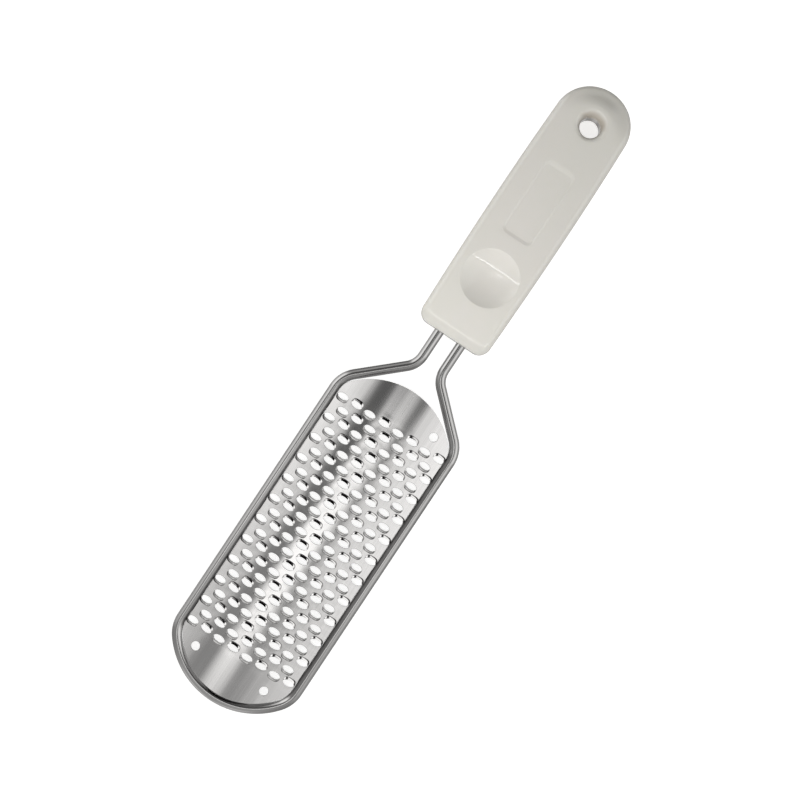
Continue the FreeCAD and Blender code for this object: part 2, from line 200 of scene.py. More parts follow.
def fill_between(outer, holes, extra):
    """Triangles over the outer loop less the holes. Returns the points and the triangles; the loops' points come first,
    in order, and keep their numbers."""
    loops = [np.asarray(outer, float)] + [np.asarray(h, float) for h in holes]
    pts, edges, start = [], [], 0
    for lp in loops:
        k = len(lp)
        pts.append(lp)
        edges += [(start + i, start + (i + 1) % k) for i in range(k)]
        start += k
    fixed = start
    if len(extra):
        pts.append(np.asarray(extra, float))
    pts = np.concatenate(pts)
    res = delaunay_2d_cdt([Vector(p) for p in pts], edges, [], 0, 1e-7)
    verts, tris, orig = res[0], res[2], res[3]
    back = {}
    for i, o in enumerate(orig):
        if o:
            back[i] = o[0]
    keep = []
    for t in tris:
        if all(i in back for i in t):
            keep.append([back[i] for i in t])
    keep = np.array(keep, int)
    c = pts[keep].mean(axis=1)
    ok = inside_polygon(c[:, 0], c[:, 1], loops[0])
    for h in loops[1:]:
        lo, hi = h.min(0), h.max(0)
        near = np.nonzero(ok & (c[:, 0] > lo[0]) & (c[:, 0] < hi[0]) & (c[:, 1] > lo[1]) & (c[:, 1] < hi[1]))[0]
        if len(near):
            inn = inside_polygon(c[near, 0], c[near, 1], h)
            ok[near[inn]] = False
    keep = keep[ok]
    a, b, d = pts[keep[:, 0]], pts[keep[:, 1]], pts[keep[:, 2]]
    area = (b[:, 0] - a[:, 0]) * (d[:, 1] - a[:, 1]) - (b[:, 1] - a[:, 1]) * (d[:, 0] - a[:, 0])
    flip = area < 0
    keep[flip] = keep[flip][:, ::-1]
    keep = keep[np.abs(area) > 1e-9]
    return pts, keep, fixed


def grid_points(lo, hi, step, outer, holes, margin):
    """A staggered grid of points inside outer, outside the holes and clear of every loop by margin."""
    xs = np.arange(lo[0], hi[0] + step, step)
    ys = np.arange(lo[1], hi[1] + step, step * 0.87)
    gx, gy = np.meshgrid(xs, ys)
    gx = gx + (np.arange(len(ys)) % 2)[:, None] * step / 2
    p = np.stack([gx.ravel(), gy.ravel()], 1)
    ok = inside_polygon(p[:, 0], p[:, 1], np.asarray(outer, float))
    p = p[ok]
    every = np.concatenate([np.asarray(h, float) for h in [outer] + list(holes)])
    for h in holes:
        h = np.asarray(h, float)
        p = p[~inside_polygon(p[:, 0], p[:, 1], h)]
    keep = np.ones(len(p), bool)
    for i in range(0, len(p), 500):
        d = np.linalg.norm(p[i:i + 500, None, :] - every[None], axis=2).min(1)
        keep[i:i + 500] = d > margin
    return p[keep]


# --------------------------------------------------------------------- wire rod
def arc_pts(c, r, a0, a1, step):
    k = max(2, int(abs(a1 - a0) * r / step))
    a = np.linspace(a0, a1, k + 1)
    return np.stack([c[0] + r * np.cos(a), c[1] + r * np.sin(a)], 1)


def bend(p0, p, p1, r):
    """Tangent points, centre and angles of the arc that rounds the corner p."""
    p0, p, p1 = (np.array(x, float) for x in (p0, p, p1))
    a, b = (p0 - p) / np.linalg.norm(p0 - p), (p1 - p) / np.linalg.norm(p1 - p)
    half = math.acos(np.clip(a @ b, -1, 1)) / 2
    cut = r / math.tan(half)
    c = p + (a + b) / np.linalg.norm(a + b) * (r / math.sin(half))
    t0, t1 = p + a * cut, p + b * cut
    a0, a1 = math.atan2(*(t0 - c)[::-1]), math.atan2(*(t1 - c)[::-1])
    return t0, t1, c, a0, a0 + (a1 - a0 + math.pi) % TAU - math.pi


# the corner arcs at the tip are tangent to the rails and to the inside of the tip arc
CORNER_X = SHOULDER_X - CORNER_R
CORNER_Y = TIP_ARC_Y - math.sqrt((TIP_ARC_R - CORNER_R) ** 2 - CORNER_X ** 2)


def half_path(leg):
    """Centreline of half the frame, from a leg's end to the tip; leg is that leg's distance from the middle."""
    arc_step = 0.45
    pts = []

    def line(p, q, step):
        p, q = np.array(p, float), np.array(q, float)
        k = max(1, int(np.linalg.norm(q - p) / step))
        pts.append(p + (q - p) * np.linspace(0, 1, k + 1)[:, None])

    P = [(leg, LEG_TOP_Y), (leg, NECK_Y), (SHOULDER_X, SHOULDER_Y), (SHOULDER_X, CORNER_Y)]
    t0, t1, c, a0, a1 = bend(P[0], P[1], P[2], NECK_BEND_R)
    line(P[0], (leg, LEG_FLAT_START + LEG_FLAT_LEN + 1), 1.0)
    line((leg, LEG_FLAT_START + LEG_FLAT_LEN + 1), (leg, LEG_FLAT_START - 1), 0.3)
    line((leg, LEG_FLAT_START - 1), t0, 1.0)
    pts.append(arc_pts(c, NECK_BEND_R, a0, a1, arc_step))
    s0, s1, c2, b0, b1 = bend(P[1], P[2], P[3], SHOULDER_BEND_R)
    line(t1, s0, 0.8)
    pts.append(arc_pts(c2, SHOULDER_BEND_R, b0, b1, arc_step))
    line(s1, P[3], 0.9)
    reach = TIP_ARC_R - CORNER_R
    turn = math.atan2((CORNER_Y - TIP_ARC_Y) / reach, CORNER_X / reach)
    pts.append(arc_pts((CORNER_X, CORNER_Y), CORNER_R, 0.0, turn, arc_step))
    pts.append(arc_pts((0, TIP_ARC_Y), TIP_ARC_R, turn, -math.pi / 2, arc_step))
    half = np.concatenate(pts)
    keep = np.ones(len(half), bool)
    keep[1:] = np.linalg.norm(np.diff(half, axis=0), axis=1) > 1e-6
    return half[keep]


def rod_path():
    right, left = half_path(LEG_X + LEG_MID), half_path(LEG_X - LEG_MID)
    return np.concatenate([right, left[::-1][1:] * np.array([-1, 1])])


def make_rod():
    path = rod_path()
    n = len(path)
    t = unit(np.gradient(path, axis=0))
    side = np.stack([-t[:, 1], t[:, 0]], 1)     # to the left of the way it runs
    length = np.concatenate([[0], np.cumsum(np.linalg.norm(np.diff(path, axis=0), axis=1))])
    K = 56
    psi = np.arange(K) / K * TAU                # a quarter turn is the top of the rod
    X = path[:, None, 0] + np.zeros(K)
    Y = path[:, None, 1] + np.zeros(K)
    off = np.broadcast_to(WIRE_R * np.cos(psi)[None], (n, K))
    z = np.broadcast_to(WIRE_R * np.sin(psi)[None], (n, K)).copy()
    flat = (Y > LEG_FLAT_START) & (Y < LEG_FLAT_START + LEG_FLAT_LEN)
    lim = WIRE_R - LEG_FLAT
    z = np.where(flat, np.clip(z, -lim, lim), z)
    pts = np.stack([X + side[:, None, 0] * off, Y + side[:, None, 1] * off, WIRE_Z + z], 2)
    uv = np.stack([np.broadcast_to((length * MM)[:, None], (n, K)), np.broadcast_to((psi * WIRE_R * MM)[None], (n, K))], 2)
    # painted shade: the rod's inner flank is painted darker in the corner where the sheet's edge meets the rod, where
    # shade falls
    crevice_shade = np.zeros((n, K))
    along = smooth((-7.5 - Y) / 3.0) * smooth((Y + 117.5) / 3.0) * (np.abs(X) > 20)
    ang = np.degrees(np.arctan2(z, np.where(X > 0, X - pts[..., 0], pts[..., 0] - X)))   # from the sheet's side, upwards
    up = np.where(X > 0, smooth((90 - ang) / 26), 0.90 * smooth((86 - ang) / 46))
    crevice_shade = along * up * smooth((ang + 40) / 20)
    dl = np.gradient(pts, axis=0)
    dp = np.roll(pts, -1, axis=1) - np.roll(pts, 1, axis=1)
    nor = unit(np.cross(dl, dp))
    centre = np.stack([X, Y, np.full_like(X, WIRE_Z)], 2)
    nor = nor * np.sign(((pts - centre) * nor).sum(2))[..., None]
    m = Mesh()
    ids = m.add(pts.reshape(-1, 3), uv.reshape(-1, 2), None, crevice_shade.ravel()).reshape(n, K)
    quads, norms = [], []
    for i in range(n - 1):
        for j in range(K):
            k = (j + 1) % K
            quads.append((ids[i, j], ids[i + 1, j], ids[i + 1, k], ids[i, k]))
            norms.append([nor[i, j], nor[i + 1, j], nor[i + 1, k], nor[i, k]])
    # the winding has to agree with the outward normals
    a, b, c = pts[5, 3], pts[6, 3], pts[6, 4]
    if np.dot(np.cross(b - a, c - a), nor[5, 3]) < 0:
        quads = [q[::-1] for q in quads]
        norms = [q[::-1] for q in norms]
    m.faces(quads, norms)
    for i, d in ((0, -t[0]), (n - 1, t[-1])):
        c = m.add([(path[i, 0], path[i, 1], WIRE_Z)])[0]
        nn = np.array([d[0], d[1], 0.0])
        tri = []
        for j in range(K):
            k = (j + 1) % K
            q = (ids[i, j], ids[i, k], c)
            A, B = pts[i, j], pts[i, k]
            if np.dot(np.cross(B - A, centre[i, 0] - A), nn) < 0:
                q = q[::-1]
            tri.append(q)
        m.faces(tri, [[nn] * 3 for _ in tri])
    ob = m.build("wire_frame_rod")
    # the last strip round the rod ends at a full turn in the UV map instead of running back to nought
    layer = ob.data.uv_layers[0]
    vals = np.zeros(len(layer.data) * 2, np.float32)
    layer.data.foreach_get("uv", vals)
    vals = vals.reshape(-1, 2)
    full = TAU * WIRE_R * MM
    body = vals[:(n - 1) * K * 4].reshape(n - 1, K, 4, 2)
    wrap = body[:, K - 1, :, 1] < full * 0.25
    body[:, K - 1, :, 1][wrap] += full
    layer.data.foreach_set("uv", vals.ravel())
    return ob


# ----------------------------------------------------------------------- blade
def arch(s, y, h):
    """World place of a point: s round the section, y along the blade, h above the top face."""
    s = np.asarray(s, float)
    a = np.clip(s / ARCH_R, -FLANK, FLANK)
    beyond = s - a * ARCH_R
    r = ARCH_R + np.asarray(h)
    return np.stack([r * np.sin(a) + beyond * np.cos(a), np.broadcast_to(y, a.shape),
                     ARCH_Z + r * np.cos(a) - beyond * np.sin(a)], -1)


def arch_dir(s, n):
    """A local direction (across, along, up) at s, in the world; the flanks are very slightly bowed."""
    s = np.asarray(s, float)
    a = np.clip(s / ARCH_R, -FLANK, FLANK)
    a = a + (s - a * ARCH_R) / BOW_R
    n = np.asarray(n, float)
    return np.stack([n[..., 0] * np.cos(a) + n[..., 2] * np.sin(a), n[..., 1],
                     -n[..., 0] * np.sin(a) + n[..., 2] * np.cos(a)], -1)


def to_s(x):
    """Distance round the section of the point of the top face that lies at x."""
    x = np.asarray(x, float)
    back = ARCH_R * np.arcsin(np.clip(np.abs(x), 0, BACK_X) / ARCH_R)
    return np.sign(x) * (back + np.maximum(np.abs(x) - BACK_X, 0) / math.cos(FLANK))


def tooth_places():
    middle = ROW_A_Y - ROW_PITCH * (ROW_A_COUNT - 1) / 2.0
    out = []
    for i in range(ROW_A_COUNT):
        for c in range(-7, 8, 2):
            out.append((c * COL_PITCH, ROW_A_Y - ROW_PITCH * i, -1 if ((c + 7) // 2) % 2 == 0 else 1))
    for i in range(ROW_B_COUNT):
        for c in range(-6, 7, 2):
            out.append((c * COL_PITCH, ROW_A_Y - ROW_PITCH * (i + 0.5), -1 if ((c + 6) // 2) % 2 == 0 else 1))
    return [(x * math.cos(SKEW) + (y - middle) * math.sin(SKEW),
             middle - x * math.sin(SKEW) + (y - middle) * math.cos(SKEW) + (SIDE_SHIFT if s > 0 else 0.0), s)
            for x, y, s in out]


TOOTH_N = 60
FOOT_A, FOOT_LIP, FOOT_BACK = 2.52, 2.12, 1.42      # foot of the drawn zone, in plan
FOOT_POWER = 3.3                                    # above 2, the lip's foot has squarer ends
MOUTH_A, MOUTH_LIP, MOUTH_BACK = 2.30, 1.12, 1.17   # edge of the mouth, in plan
LIP_T = 0.34
# rise of the lip's skin with the distance from its foot: a tight crease, a steep skirt, then an easier crown
RELIEF = ((0.017, -2.0, 1.9, 1.15), (-0.012, 1.7, 1.9, 1.0))   # height, place, widths of the sheet's rise and dip
LIP_D = np.array([0.0, 0.05, 0.12, 0.25, 0.50, 0.75, 1.00, 1.20])
LIP_Z = np.array([0.0, 0.035, 0.135, 0.300, 0.510, 0.645, 0.735, 0.780])


def foot_ring(phi):
    c, s = np.cos(phi), np.sin(phi)
    power = 2.0 + (FOOT_POWER - 2.0) * smooth(-s / 0.25)
    r = (np.abs(c) ** power + np.abs(s) ** power) ** (-1 / power)
    low = smooth((-s + 0.10) / 0.20)
    return FOOT_A * c * r, (FOOT_BACK + (FOOT_LIP - FOOT_BACK) * low) * s * r


FOOT_DENSE = np.stack(foot_ring(np.linspace(-math.pi, 0, 1400)), 1)


def tooth_surface(phi, t):
    """Plan place and height of the drawn skin: phi goes round the tooth with the lip at -90 degrees, t runs from its foot
    to the edge of its mouth."""
    c, s = np.cos(phi), np.sin(phi)
    low = smooth((-s + 0.10) / 0.20)
    fx, fy = foot_ring(phi)
    mb = MOUTH_BACK + (MOUTH_LIP - MOUTH_BACK) * low
    x = fx + (MOUTH_A * c - fx) * t
    y = fy + (mb * s - fy) * t
    # the lip climbs with the distance from its foot, so its contours run parallel to it
    far = np.linalg.norm(np.stack([x, y], 1)[:, None] - FOOT_DENSE[None], axis=2).min(1)
    lift = np.interp(far, LIP_D, LIP_Z) * smooth((-s + 0.02) / 0.20)
    # behind the mouth the sheet only rolls down a little at the sheared edge
    roll = -0.10 * np.clip((t - 0.45) / 0.55, 0, 1) ** 2.2 * (1 - low)
    return x, y, lift + roll


def relief(s, y, places):
    """How far drawing the teeth has pushed the sheet between them up or down, and the slopes of that."""
    s, y = np.asarray(s, float), np.asarray(y, float)
    h, hs, hy = np.zeros(s.shape), np.zeros(s.shape), np.zeros(s.shape)
    for s0, y0, side in places:
        ds = s - s0
        near = np.abs(ds) < 6.5
        near &= np.abs(y - y0) < 6.5
        if not near.any():
            continue
        a = ds[near]
        for amp, at, ws, wy in RELIEF:
            b = y[near] - (y0 + (-at if side > 0 else at))
            g = amp * np.exp(-(a / ws) ** 2 - (b / wy) ** 2)
            h[near] += g
            hs[near] += -2 * a / ws ** 2 * g
            hy[near] += -2 * b / wy ** 2 * g
    return h, hs, hy


def tooth_angles():
    """Angles round a tooth, spaced evenly along its foot and its mouth taken together."""
    a = np.linspace(-math.pi / 2, 1.5 * math.pi, 4001)
    fx, fy = foot_ring(a)
    ring = np.stack([fx, fy, MOUTH_A * np.cos(a), 1.15 * np.sin(a)], 1)
    run = np.concatenate([[0], np.cumsum(np.linalg.norm(np.diff(ring, axis=0), axis=1))])
    return np.interp(np.arange(TOOTH_N) / TOOTH_N * run[-1], run, a)


def make_blade():
    m = Mesh()
    places = tooth_places()
    N = TOOTH_N
    phi = tooth_angles()
    ts = np.array([0, .055, .12, .20, .32, .46, .62, .78, .90, 1.0])
    phi_low = smooth((-np.sin(phi) + 0.10) / 0.20)
    # one tooth, in its own frame, with its lip towards -y
    P, NR = [], []
    e = 2e-3
    for t in ts:
        x, y, z = tooth_surface(phi, t)
        a = np.stack(tooth_surface(phi + e, t), 1) - np.stack(tooth_surface(phi - e, t), 1)
        t0, t1 = max(0, t - e * 6), min(1, t + e * 6)
        b = np.stack(tooth_surface(phi, t1), 1) - np.stack(tooth_surface(phi, t0), 1)
        nrm = unit(np.cross(b, a))
        nrm *= np.sign(nrm[:, 2:3] + 1e-12)
        if t == 0:
            nrm[:] = (0, 0, 1)
        P.append(np.stack([x, y, z], 1))
        NR.append(nrm)
    P, NR = np.array(P), np.array(NR)
    thick = SHEET_T + (LIP_T - SHEET_T) * ts
    under = [0, 3, 5, 7, 8, 9]
    # the underside is set off straight down at the foot and square to the skin towards the mouth
    lean = np.stack([NR[:, :, 0], NR[:, :, 1], np.maximum(NR[:, :, 2], 0.75)], 2)
    lean = unit(lean * np.array([1, 1, 1.0]) * np.stack([ts, ts, np.ones_like(ts)], 1)[:, None, :])
    Q = (P - lean * thick[:, None, None])[under]
    QN = -NR[under]
    # the mouth's cut edge: a hair of bevel on top, then the wall
    edge_out = unit(P[-1] - P[-2])
    bev = P[-1] + edge_out * 0.03 - NR[-1] * 0.045

    # ---- plan of the plain sheet, in developed coordinates
    def meet(c, r, c2, r2, side):
        """Where two circles cross; of the two points, the one further to the given side (a direction)."""
        c, c2 = np.array(c, float), np.array(c2, float)
        d = np.linalg.norm(c2 - c)
        a = (r * r - r2 * r2 + d * d) / (2 * d)
        h = math.sqrt(r * r - a * a)
        u = (c2 - c) / d
        v = np.array([-u[1], u[0]])
        p, q = c + u * a + v * h, c + u * a - v * h
        return p if p @ np.array(side) > q @ np.array(side) else q

    _, _, bend_c, _, _ = bend((LEG_X, NECK_Y), (SHOULDER_X, SHOULDER_Y), (SHOULDER_X, CORNER_Y), SHOULDER_BEND_R)

    def outline(inset):
        """Plan of the sheet: two end arcs, and sides that follow the rod round its bends."""
        D = SHOULDER_X - BUTT_X + SEAM + inset
        rn, rt = BLADE_NECK_R - inset, BLADE_TIP_R - inset
        p = meet((0, BLADE_NECK_Y), rn, bend_c, SHOULDER_BEND_R - D, (1, 0.3))
        q = meet((0, BLADE_TIP_Y), rt, (CORNER_X, CORNER_Y), CORNER_R - D, (1, -0.3))
        an = math.atan2(p[1] - BLADE_NECK_Y, p[0])
        at = math.atan2(q[1] - BLADE_TIP_Y, q[0])
        a = np.linspace(an, math.pi - an, 124)
        neck = np.stack([rn * np.cos(a), BLADE_NECK_Y + rn * np.sin(a)], 1)
        a = np.linspace(math.pi - at, TAU + at, 124)
        tip = np.stack([rt * np.cos(a), BLADE_TIP_Y + rt * np.sin(a)], 1)
        a = np.linspace(math.atan2(q[1] - CORNER_Y, q[0] - CORNER_X), 0, 10)[1:]
        low = np.stack([CORNER_X + (CORNER_R - D) * np.cos(a), CORNER_Y + (CORNER_R - D) * np.sin(a)], 1)
        a = np.linspace(0, math.atan2(p[1] - bend_c[1], p[0] - bend_c[0]), 12)[:-1]
        high = np.stack([bend_c[0] + (SHOULDER_BEND_R - D) * np.cos(a), bend_c[1] + (SHOULDER_BEND_R - D) * np.sin(a)], 1)
        run = np.linspace(low[-1], high[0], 110)[1:-1]
        right = np.concatenate([low, run, high])
        left = right[::-1] * np.array([-1, 1])
        lp = np.concatenate([neck, left, tip, right])
        return np.stack([to_s(lp[:, 0]), lp[:, 1]], 1)

    bevel = 0.07
    rim, edge = outline(bevel), outline(0.0)
    K = len(rim)
    feet, centres = [], []
    for s0, y0, side in places:
        fx, fy = P[0][:, 0], P[0][:, 1]
        if side > 0:
            fx, fy = -fx, -fy
        feet.append(np.stack([s0 + fx, y0 + fy], 1))
    holes, hole_edges, HN = [], [], 40
    ha = np.arange(HN) / HN * TAU
    for x, y in INDEX_HOLES:
        for r, bag in ((INDEX_HOLE_R + 0.10, holes), (INDEX_HOLE_R, hole_edges)):
            bag.append(np.stack([to_s(x + r * np.cos(ha)), y + r * np.sin(ha)], 1))
    extra = grid_points((-25.5, -129), (25.5, 2.5), 1.3, rim, feet + holes, 0.55)
    pts, tri, fixed = fill_between(rim, feet + holes, extra)
    s_all = pts[:, 0]
    hh, hs, hy = relief(s_all, pts[:, 1], places)
    up_n = unit(np.stack([-hs, -hy, np.ones(len(pts))], 1))
    top = m.add(arch(s_all, pts[:, 1], hh), np.stack([pts[:, 1], s_all], 1) * MM)
    bot = m.add(arch(s_all, pts[:, 1], hh - SHEET_T), np.stack([pts[:, 1], s_all], 1) * MM)
    tn = arch_dir(s_all, up_n)
    m.faces(top[tri], [[tn[a], tn[b], tn[c]] for a, b, c in tri])
    m.faces(bot[tri][:, ::-1], [[-tn[c], -tn[b], -tn[a]] for a, b, c in tri])

    def band(ida, na, idb, nb, rev=False):
        q = strip(ida, idb)
        k = len(ida)
        nn = [[na[i], na[(i + 1) % k], nb[(i + 1) % k], nb[i]] for i in range(k)]
        if rev:
            q = [x[::-1] for x in q]
            nn = [x[::-1] for x in nn]
        m.faces(q, nn)

    def rounded_edge(start_top, start_bot, ring_out, count, outward, depth_top, worn, rev):
        """Chamfered wall between the top and bottom faces round one loop, whose two rings are already there."""
        s, y = ring_out[:, 0], ring_out[:, 1]
        ids_t = top[start_top:start_top + count]
        ids_b = bot[start_bot:start_bot + count]
        uv = np.stack([y, s], 1) * MM
        w_t = m.add(arch(s, y, -depth_top), uv, worn)
        w_b = m.add(arch(s, y, -SHEET_T + depth_top), uv, worn)
        d = arch_dir(s, np.concatenate([outward, np.zeros((count, 1))], 1))
        upn = arch_dir(s, np.tile([0, 0, 1.0], (count, 1)))
        cham_t, cham_b = unit(d + upn), unit(d - upn)
        band(ids_t, unit(upn * 0.85 + d * 0.3), w_t, unit(d * 0.9 + upn * 0.3), rev)
        band(w_t, d, w_b, d, rev)
        band(w_b, unit(d * 0.9 - upn * 0.3), ids_b, unit(-upn * 0.85 + d * 0.3), rev)

    # outer rim: the loop runs anticlockwise seen from above, so the wall winds the other way
    tang = unit(np.roll(edge, -1, axis=0) - np.roll(edge, 1, axis=0))
    outward = np.stack([tang[:, 1], -tang[:, 0]], 1)
    rounded_edge(0, 0, edge, K, outward, bevel, 0.6, True)
    # index holes
    at = K + len(feet) * N
    for i, h in enumerate(hole_edges):
        inward = -np.stack([np.cos(ha), np.sin(ha)], 1)
        rounded_edge(at + i * HN, at + i * HN, h, HN, inward, 0.10, 0.8, False)
    # teeth
    for k, (s0, y0, side) in enumerate(places):
        close = [q for q in places if abs(q[0] - s0) < 9 and abs(q[1] - y0) < 9]

        def put(a):
            x, y, z = a[..., 0], a[..., 1], a[..., 2]
            if side > 0:
                x, y = -x, -y
            around = relief(s0 + x, y0 + y, close)
            return arch(s0 + x, y0 + y, z + around[0]), np.stack([y0 + y, s0 + x], -1) * MM, (s0 + x, around)

        def turn(nrm, where):
            s, (_, rs, ry) = where
            nrm = nrm.copy()
            if side > 0:
                nrm[..., :2] *= -1
            # the sheet's own slope is added to the tooth's
            nrm[..., 0] -= rs * np.abs(nrm[..., 2])
            nrm[..., 1] -= ry * np.abs(nrm[..., 2])
            return arch_dir(s, unit(nrm))

        ids = [top[K + k * N:K + (k + 1) * N]]
        _, _, s = put(P[0])
        prev_n = turn(NR[0], s)
        prev = ids[0]
        for r in range(1, len(ts)):
            pos, uv, s = put(P[r])
            worn = smooth((ts[r] - 0.75) / 0.25)
            # painted shade: the rings at the lip's foot are painted darker along the crease
            crease = float(np.interp(ts[r], [0, 0.055, 0.12, 0.20], [0.4, 1.0, 0.6, 0.0]))
            cur = m.add(pos, uv, np.maximum(worn, 0.3 * phi_low), crease * phi_low * (1.0 if side > 0 else 0.72))
            cur_n = turn(NR[r], s)
            band(prev, prev_n, cur, cur_n)
            prev, prev_n = cur, cur_n
        # bevel at the cutting edge
        pos, uv, s = put(bev)
        cur = m.add(pos, uv, 1.0)
        out_n = turn(edge_out, s)
        bn = unit(prev_n + out_n)
        band(prev, bn, cur, bn)
        top_edge, top_edge_n = cur, out_n
        # underside, from the sheet's lower face in to the mouth
        prev = bot[K + k * N:K + (k + 1) * N]
        _, _, s = put(P[0])
        prev_n = -turn(NR[0], s)
        for r in range(1, len(under)):
            pos, uv, s = put(Q[r])
            cur = m.add(pos, uv, 0.2)
            cur_n = turn(QN[r], s)
            band(prev, prev_n, cur, cur_n, rev=True)
            prev, prev_n = cur, cur_n
        # the cut wall between the bevel and the underside
        band(top_edge, top_edge_n, prev, top_edge_n)
    return m.build("grater_blade_sheet")


# ----------------------------------------------------------------------- welds
def make_welds():
    """Round-ended beads on the underside, in the corner between the sheet's edge and the rod."""
    m = Mesh()
    ends, K = 9, 28
    psi = np.arange(K) / K * TAU
    for sx in (-1, 1):
        for wy in WELD_YS:
            # stations along the bead: a ball's quarter, the straight middle with its frozen ripples, a ball's quarter
            st = []
            for a in np.linspace(math.radians(8), math.pi / 2, ends):
                st.append((-BEAD_LEN / 2 - BEAD_R * math.cos(a), BEAD_R * math.sin(a)))
            for y in np.linspace(-BEAD_LEN / 2, BEAD_LEN / 2, 19)[1:-1]:
                st.append((y, BEAD_R * (1 - 0.025 * (1 - math.cos((y + BEAD_LEN / 2) / 0.5 * TAU)) / 2)))
            for a in np.linspace(math.pi / 2, math.radians(8), ends):
                st.append((BEAD_LEN / 2 + BEAD_R * math.cos(a), BEAD_R * math.sin(a)))
            rings = []
            for y, r in st:
                r = r - 0.03
                x = sx * BEAD_X + r * np.cos(psi) * sx
                z = BEAD_Z + r * np.sin(psi)
                # it stops at the sheet's lower face and at the rod
                top_x = np.clip(np.abs(x), BACK_X, BUTT_X)
                ceiling = BUTT_Z + (BUTT_X - top_x) * math.tan(FLANK) - SHEET_T / math.cos(FLANK) - 0.02
                z = np.minimum(z, ceiling)
                reach = np.sqrt(np.maximum((WIRE_R + 0.02) ** 2 - (z - WIRE_Z) ** 2, 0))
                x = sx * np.minimum(np.abs(x), SHOULDER_X - reach)
                pts = np.stack([x, np.full(K, wy + y), z], 1)
                rings.append((m.add(pts, np.stack([np.full(K, wy + y), psi], 1) * MM, 0.5 + 0.5 * math.sin(y * 9)), pts))
            for (p, _), (q, _) in zip(rings, rings[1:]):
                m.faces(strip(p, q) if sx < 0 else [x[::-1] for x in strip(p, q)])
            for (ids, pts), flip in ((rings[0], False), (rings[-1], True)):
                c = m.add([pts.mean(axis=0)], None, 0.0)[0]
                tri = [(ids[(j + 1) % K], ids[j], c) for j in range(K)]
                if flip == (sx < 0):
                    tri = [x[::-1] for x in tri]
                m.faces(tri)
    return m.build("blade_weld_beads")


# ---------------------------------------------------------------------- handle
def handle_outline():
    """Closed plan outline, anticlockwise from the middle of the front end, with outward normals and a place along it."""
    R, wide = SIDE_R_REAR, HANDLE_HALF_W
    rt = 14.6
    for _ in range(30):
        s = (HALF_LENGTH - HANDLE_WIDE_Y - rt) / (R - rt)
        ph = math.asin(s)
        rt = (wide - R * (1 - math.cos(ph))) / math.cos(ph)
    yc = HALF_LENGTH - rt
    F = SIDE_R_FRONT
    ccy = HANDLE_FRONT_Y + FRONT_CORNER_R
    drop = HANDLE_WIDE_Y - ccy
    ccx = (wide - F) + math.sqrt((F - FRONT_CORNER_R) ** 2 - drop ** 2)
    side_a = math.atan2(-drop, ccx - (wide - F))
    p, n = [], []

    def add(points, normals):
        p.extend(points)
        n.extend(normals)

    xs = np.concatenate([np.arange(0, 9.01, 0.75), np.linspace(9.0, ccx, 3)[1:]])
    add([(x, HANDLE_FRONT_Y) for x in xs[:-1]], [(0, -1)] * (len(xs) - 1))
    for a in np.linspace(-math.pi / 2, side_a, 17)[:-1]:
        add([(ccx + FRONT_CORNER_R * math.cos(a), ccy + FRONT_CORNER_R * math.sin(a))], [(math.cos(a), math.sin(a))])
    for a in np.linspace(side_a, 0, 40)[:-1]:
        add([(wide - F + F * math.cos(a), HANDLE_WIDE_Y + F * math.sin(a))], [(math.cos(a), math.sin(a))])
    for a in np.linspace(0, ph, 32)[:-1]:
        add([(wide - R + R * math.cos(a), HANDLE_WIDE_Y + R * math.sin(a))], [(math.cos(a), math.sin(a))])
    for a in np.linspace(ph, math.pi / 2, 34):
        add([(rt * math.cos(a), yc + rt * math.sin(a))], [(math.cos(a), math.sin(a))])
    p, n = np.array(p), np.array(n)
    q, k = p[1:-1][::-1] * [-1, 1], n[1:-1][::-1] * [-1, 1]
    return np.concatenate([p, q]), np.concatenate([n, k])


END_R = np.arange(0, 18, 0.05)
END_FALL = np.concatenate([[0.0], np.cumsum(np.interp(END_R[:-1], *np.array(END_SLOPES).T)) * 0.05])


def end_drop(x, y):
    """The front face rolls away beyond the hanging hole and eases again towards the rim."""
    dx, dy = np.asarray(x, float) - HANG_X, np.maximum(np.asarray(y, float) - HANG_Y, 0)
    r = np.hypot(dx, dy)
    return np.interp(r, END_R, END_FALL) * np.where(dy > 0, (dy / np.maximum(r, 1e-6)) ** 2, 0.0)


def rounded_rect(w, h, r, cx, cy, n_arc=7, n_w=9, n_h=20):
    a, b = w / 2, h / 2
    pts = []
    for (sx, sy, a0) in ((1, -1, -math.pi / 2), (1, 1, 0), (-1, 1, math.pi / 2), (-1, -1, math.pi)):
        c = (sx * (a - r), sy * (b - r))
        for t in np.linspace(0, math.pi / 2, n_arc):
            pts.append((c[0] + r * math.cos(a0 + t), c[1] + r * math.sin(a0 + t)))
        nxt = {(1, -1): ((a, -b + r), (a, b - r), n_h), (1, 1): ((a - r, b), (-a + r, b), n_w),
               (-1, 1): ((-a, b - r), (-a, -b + r), n_h), (-1, -1): ((-a + r, -b), (a - r, -b), n_w)}[(sx, sy)]
        p0, p1, k = np.array(nxt[0]), np.array(nxt[1]), nxt[2]
        for t in np.linspace(0, 1, k + 1)[1:-1]:
            pts.append(tuple(p0 + (p1 - p0) * t))
    return np.array(pts) + [cx, cy]


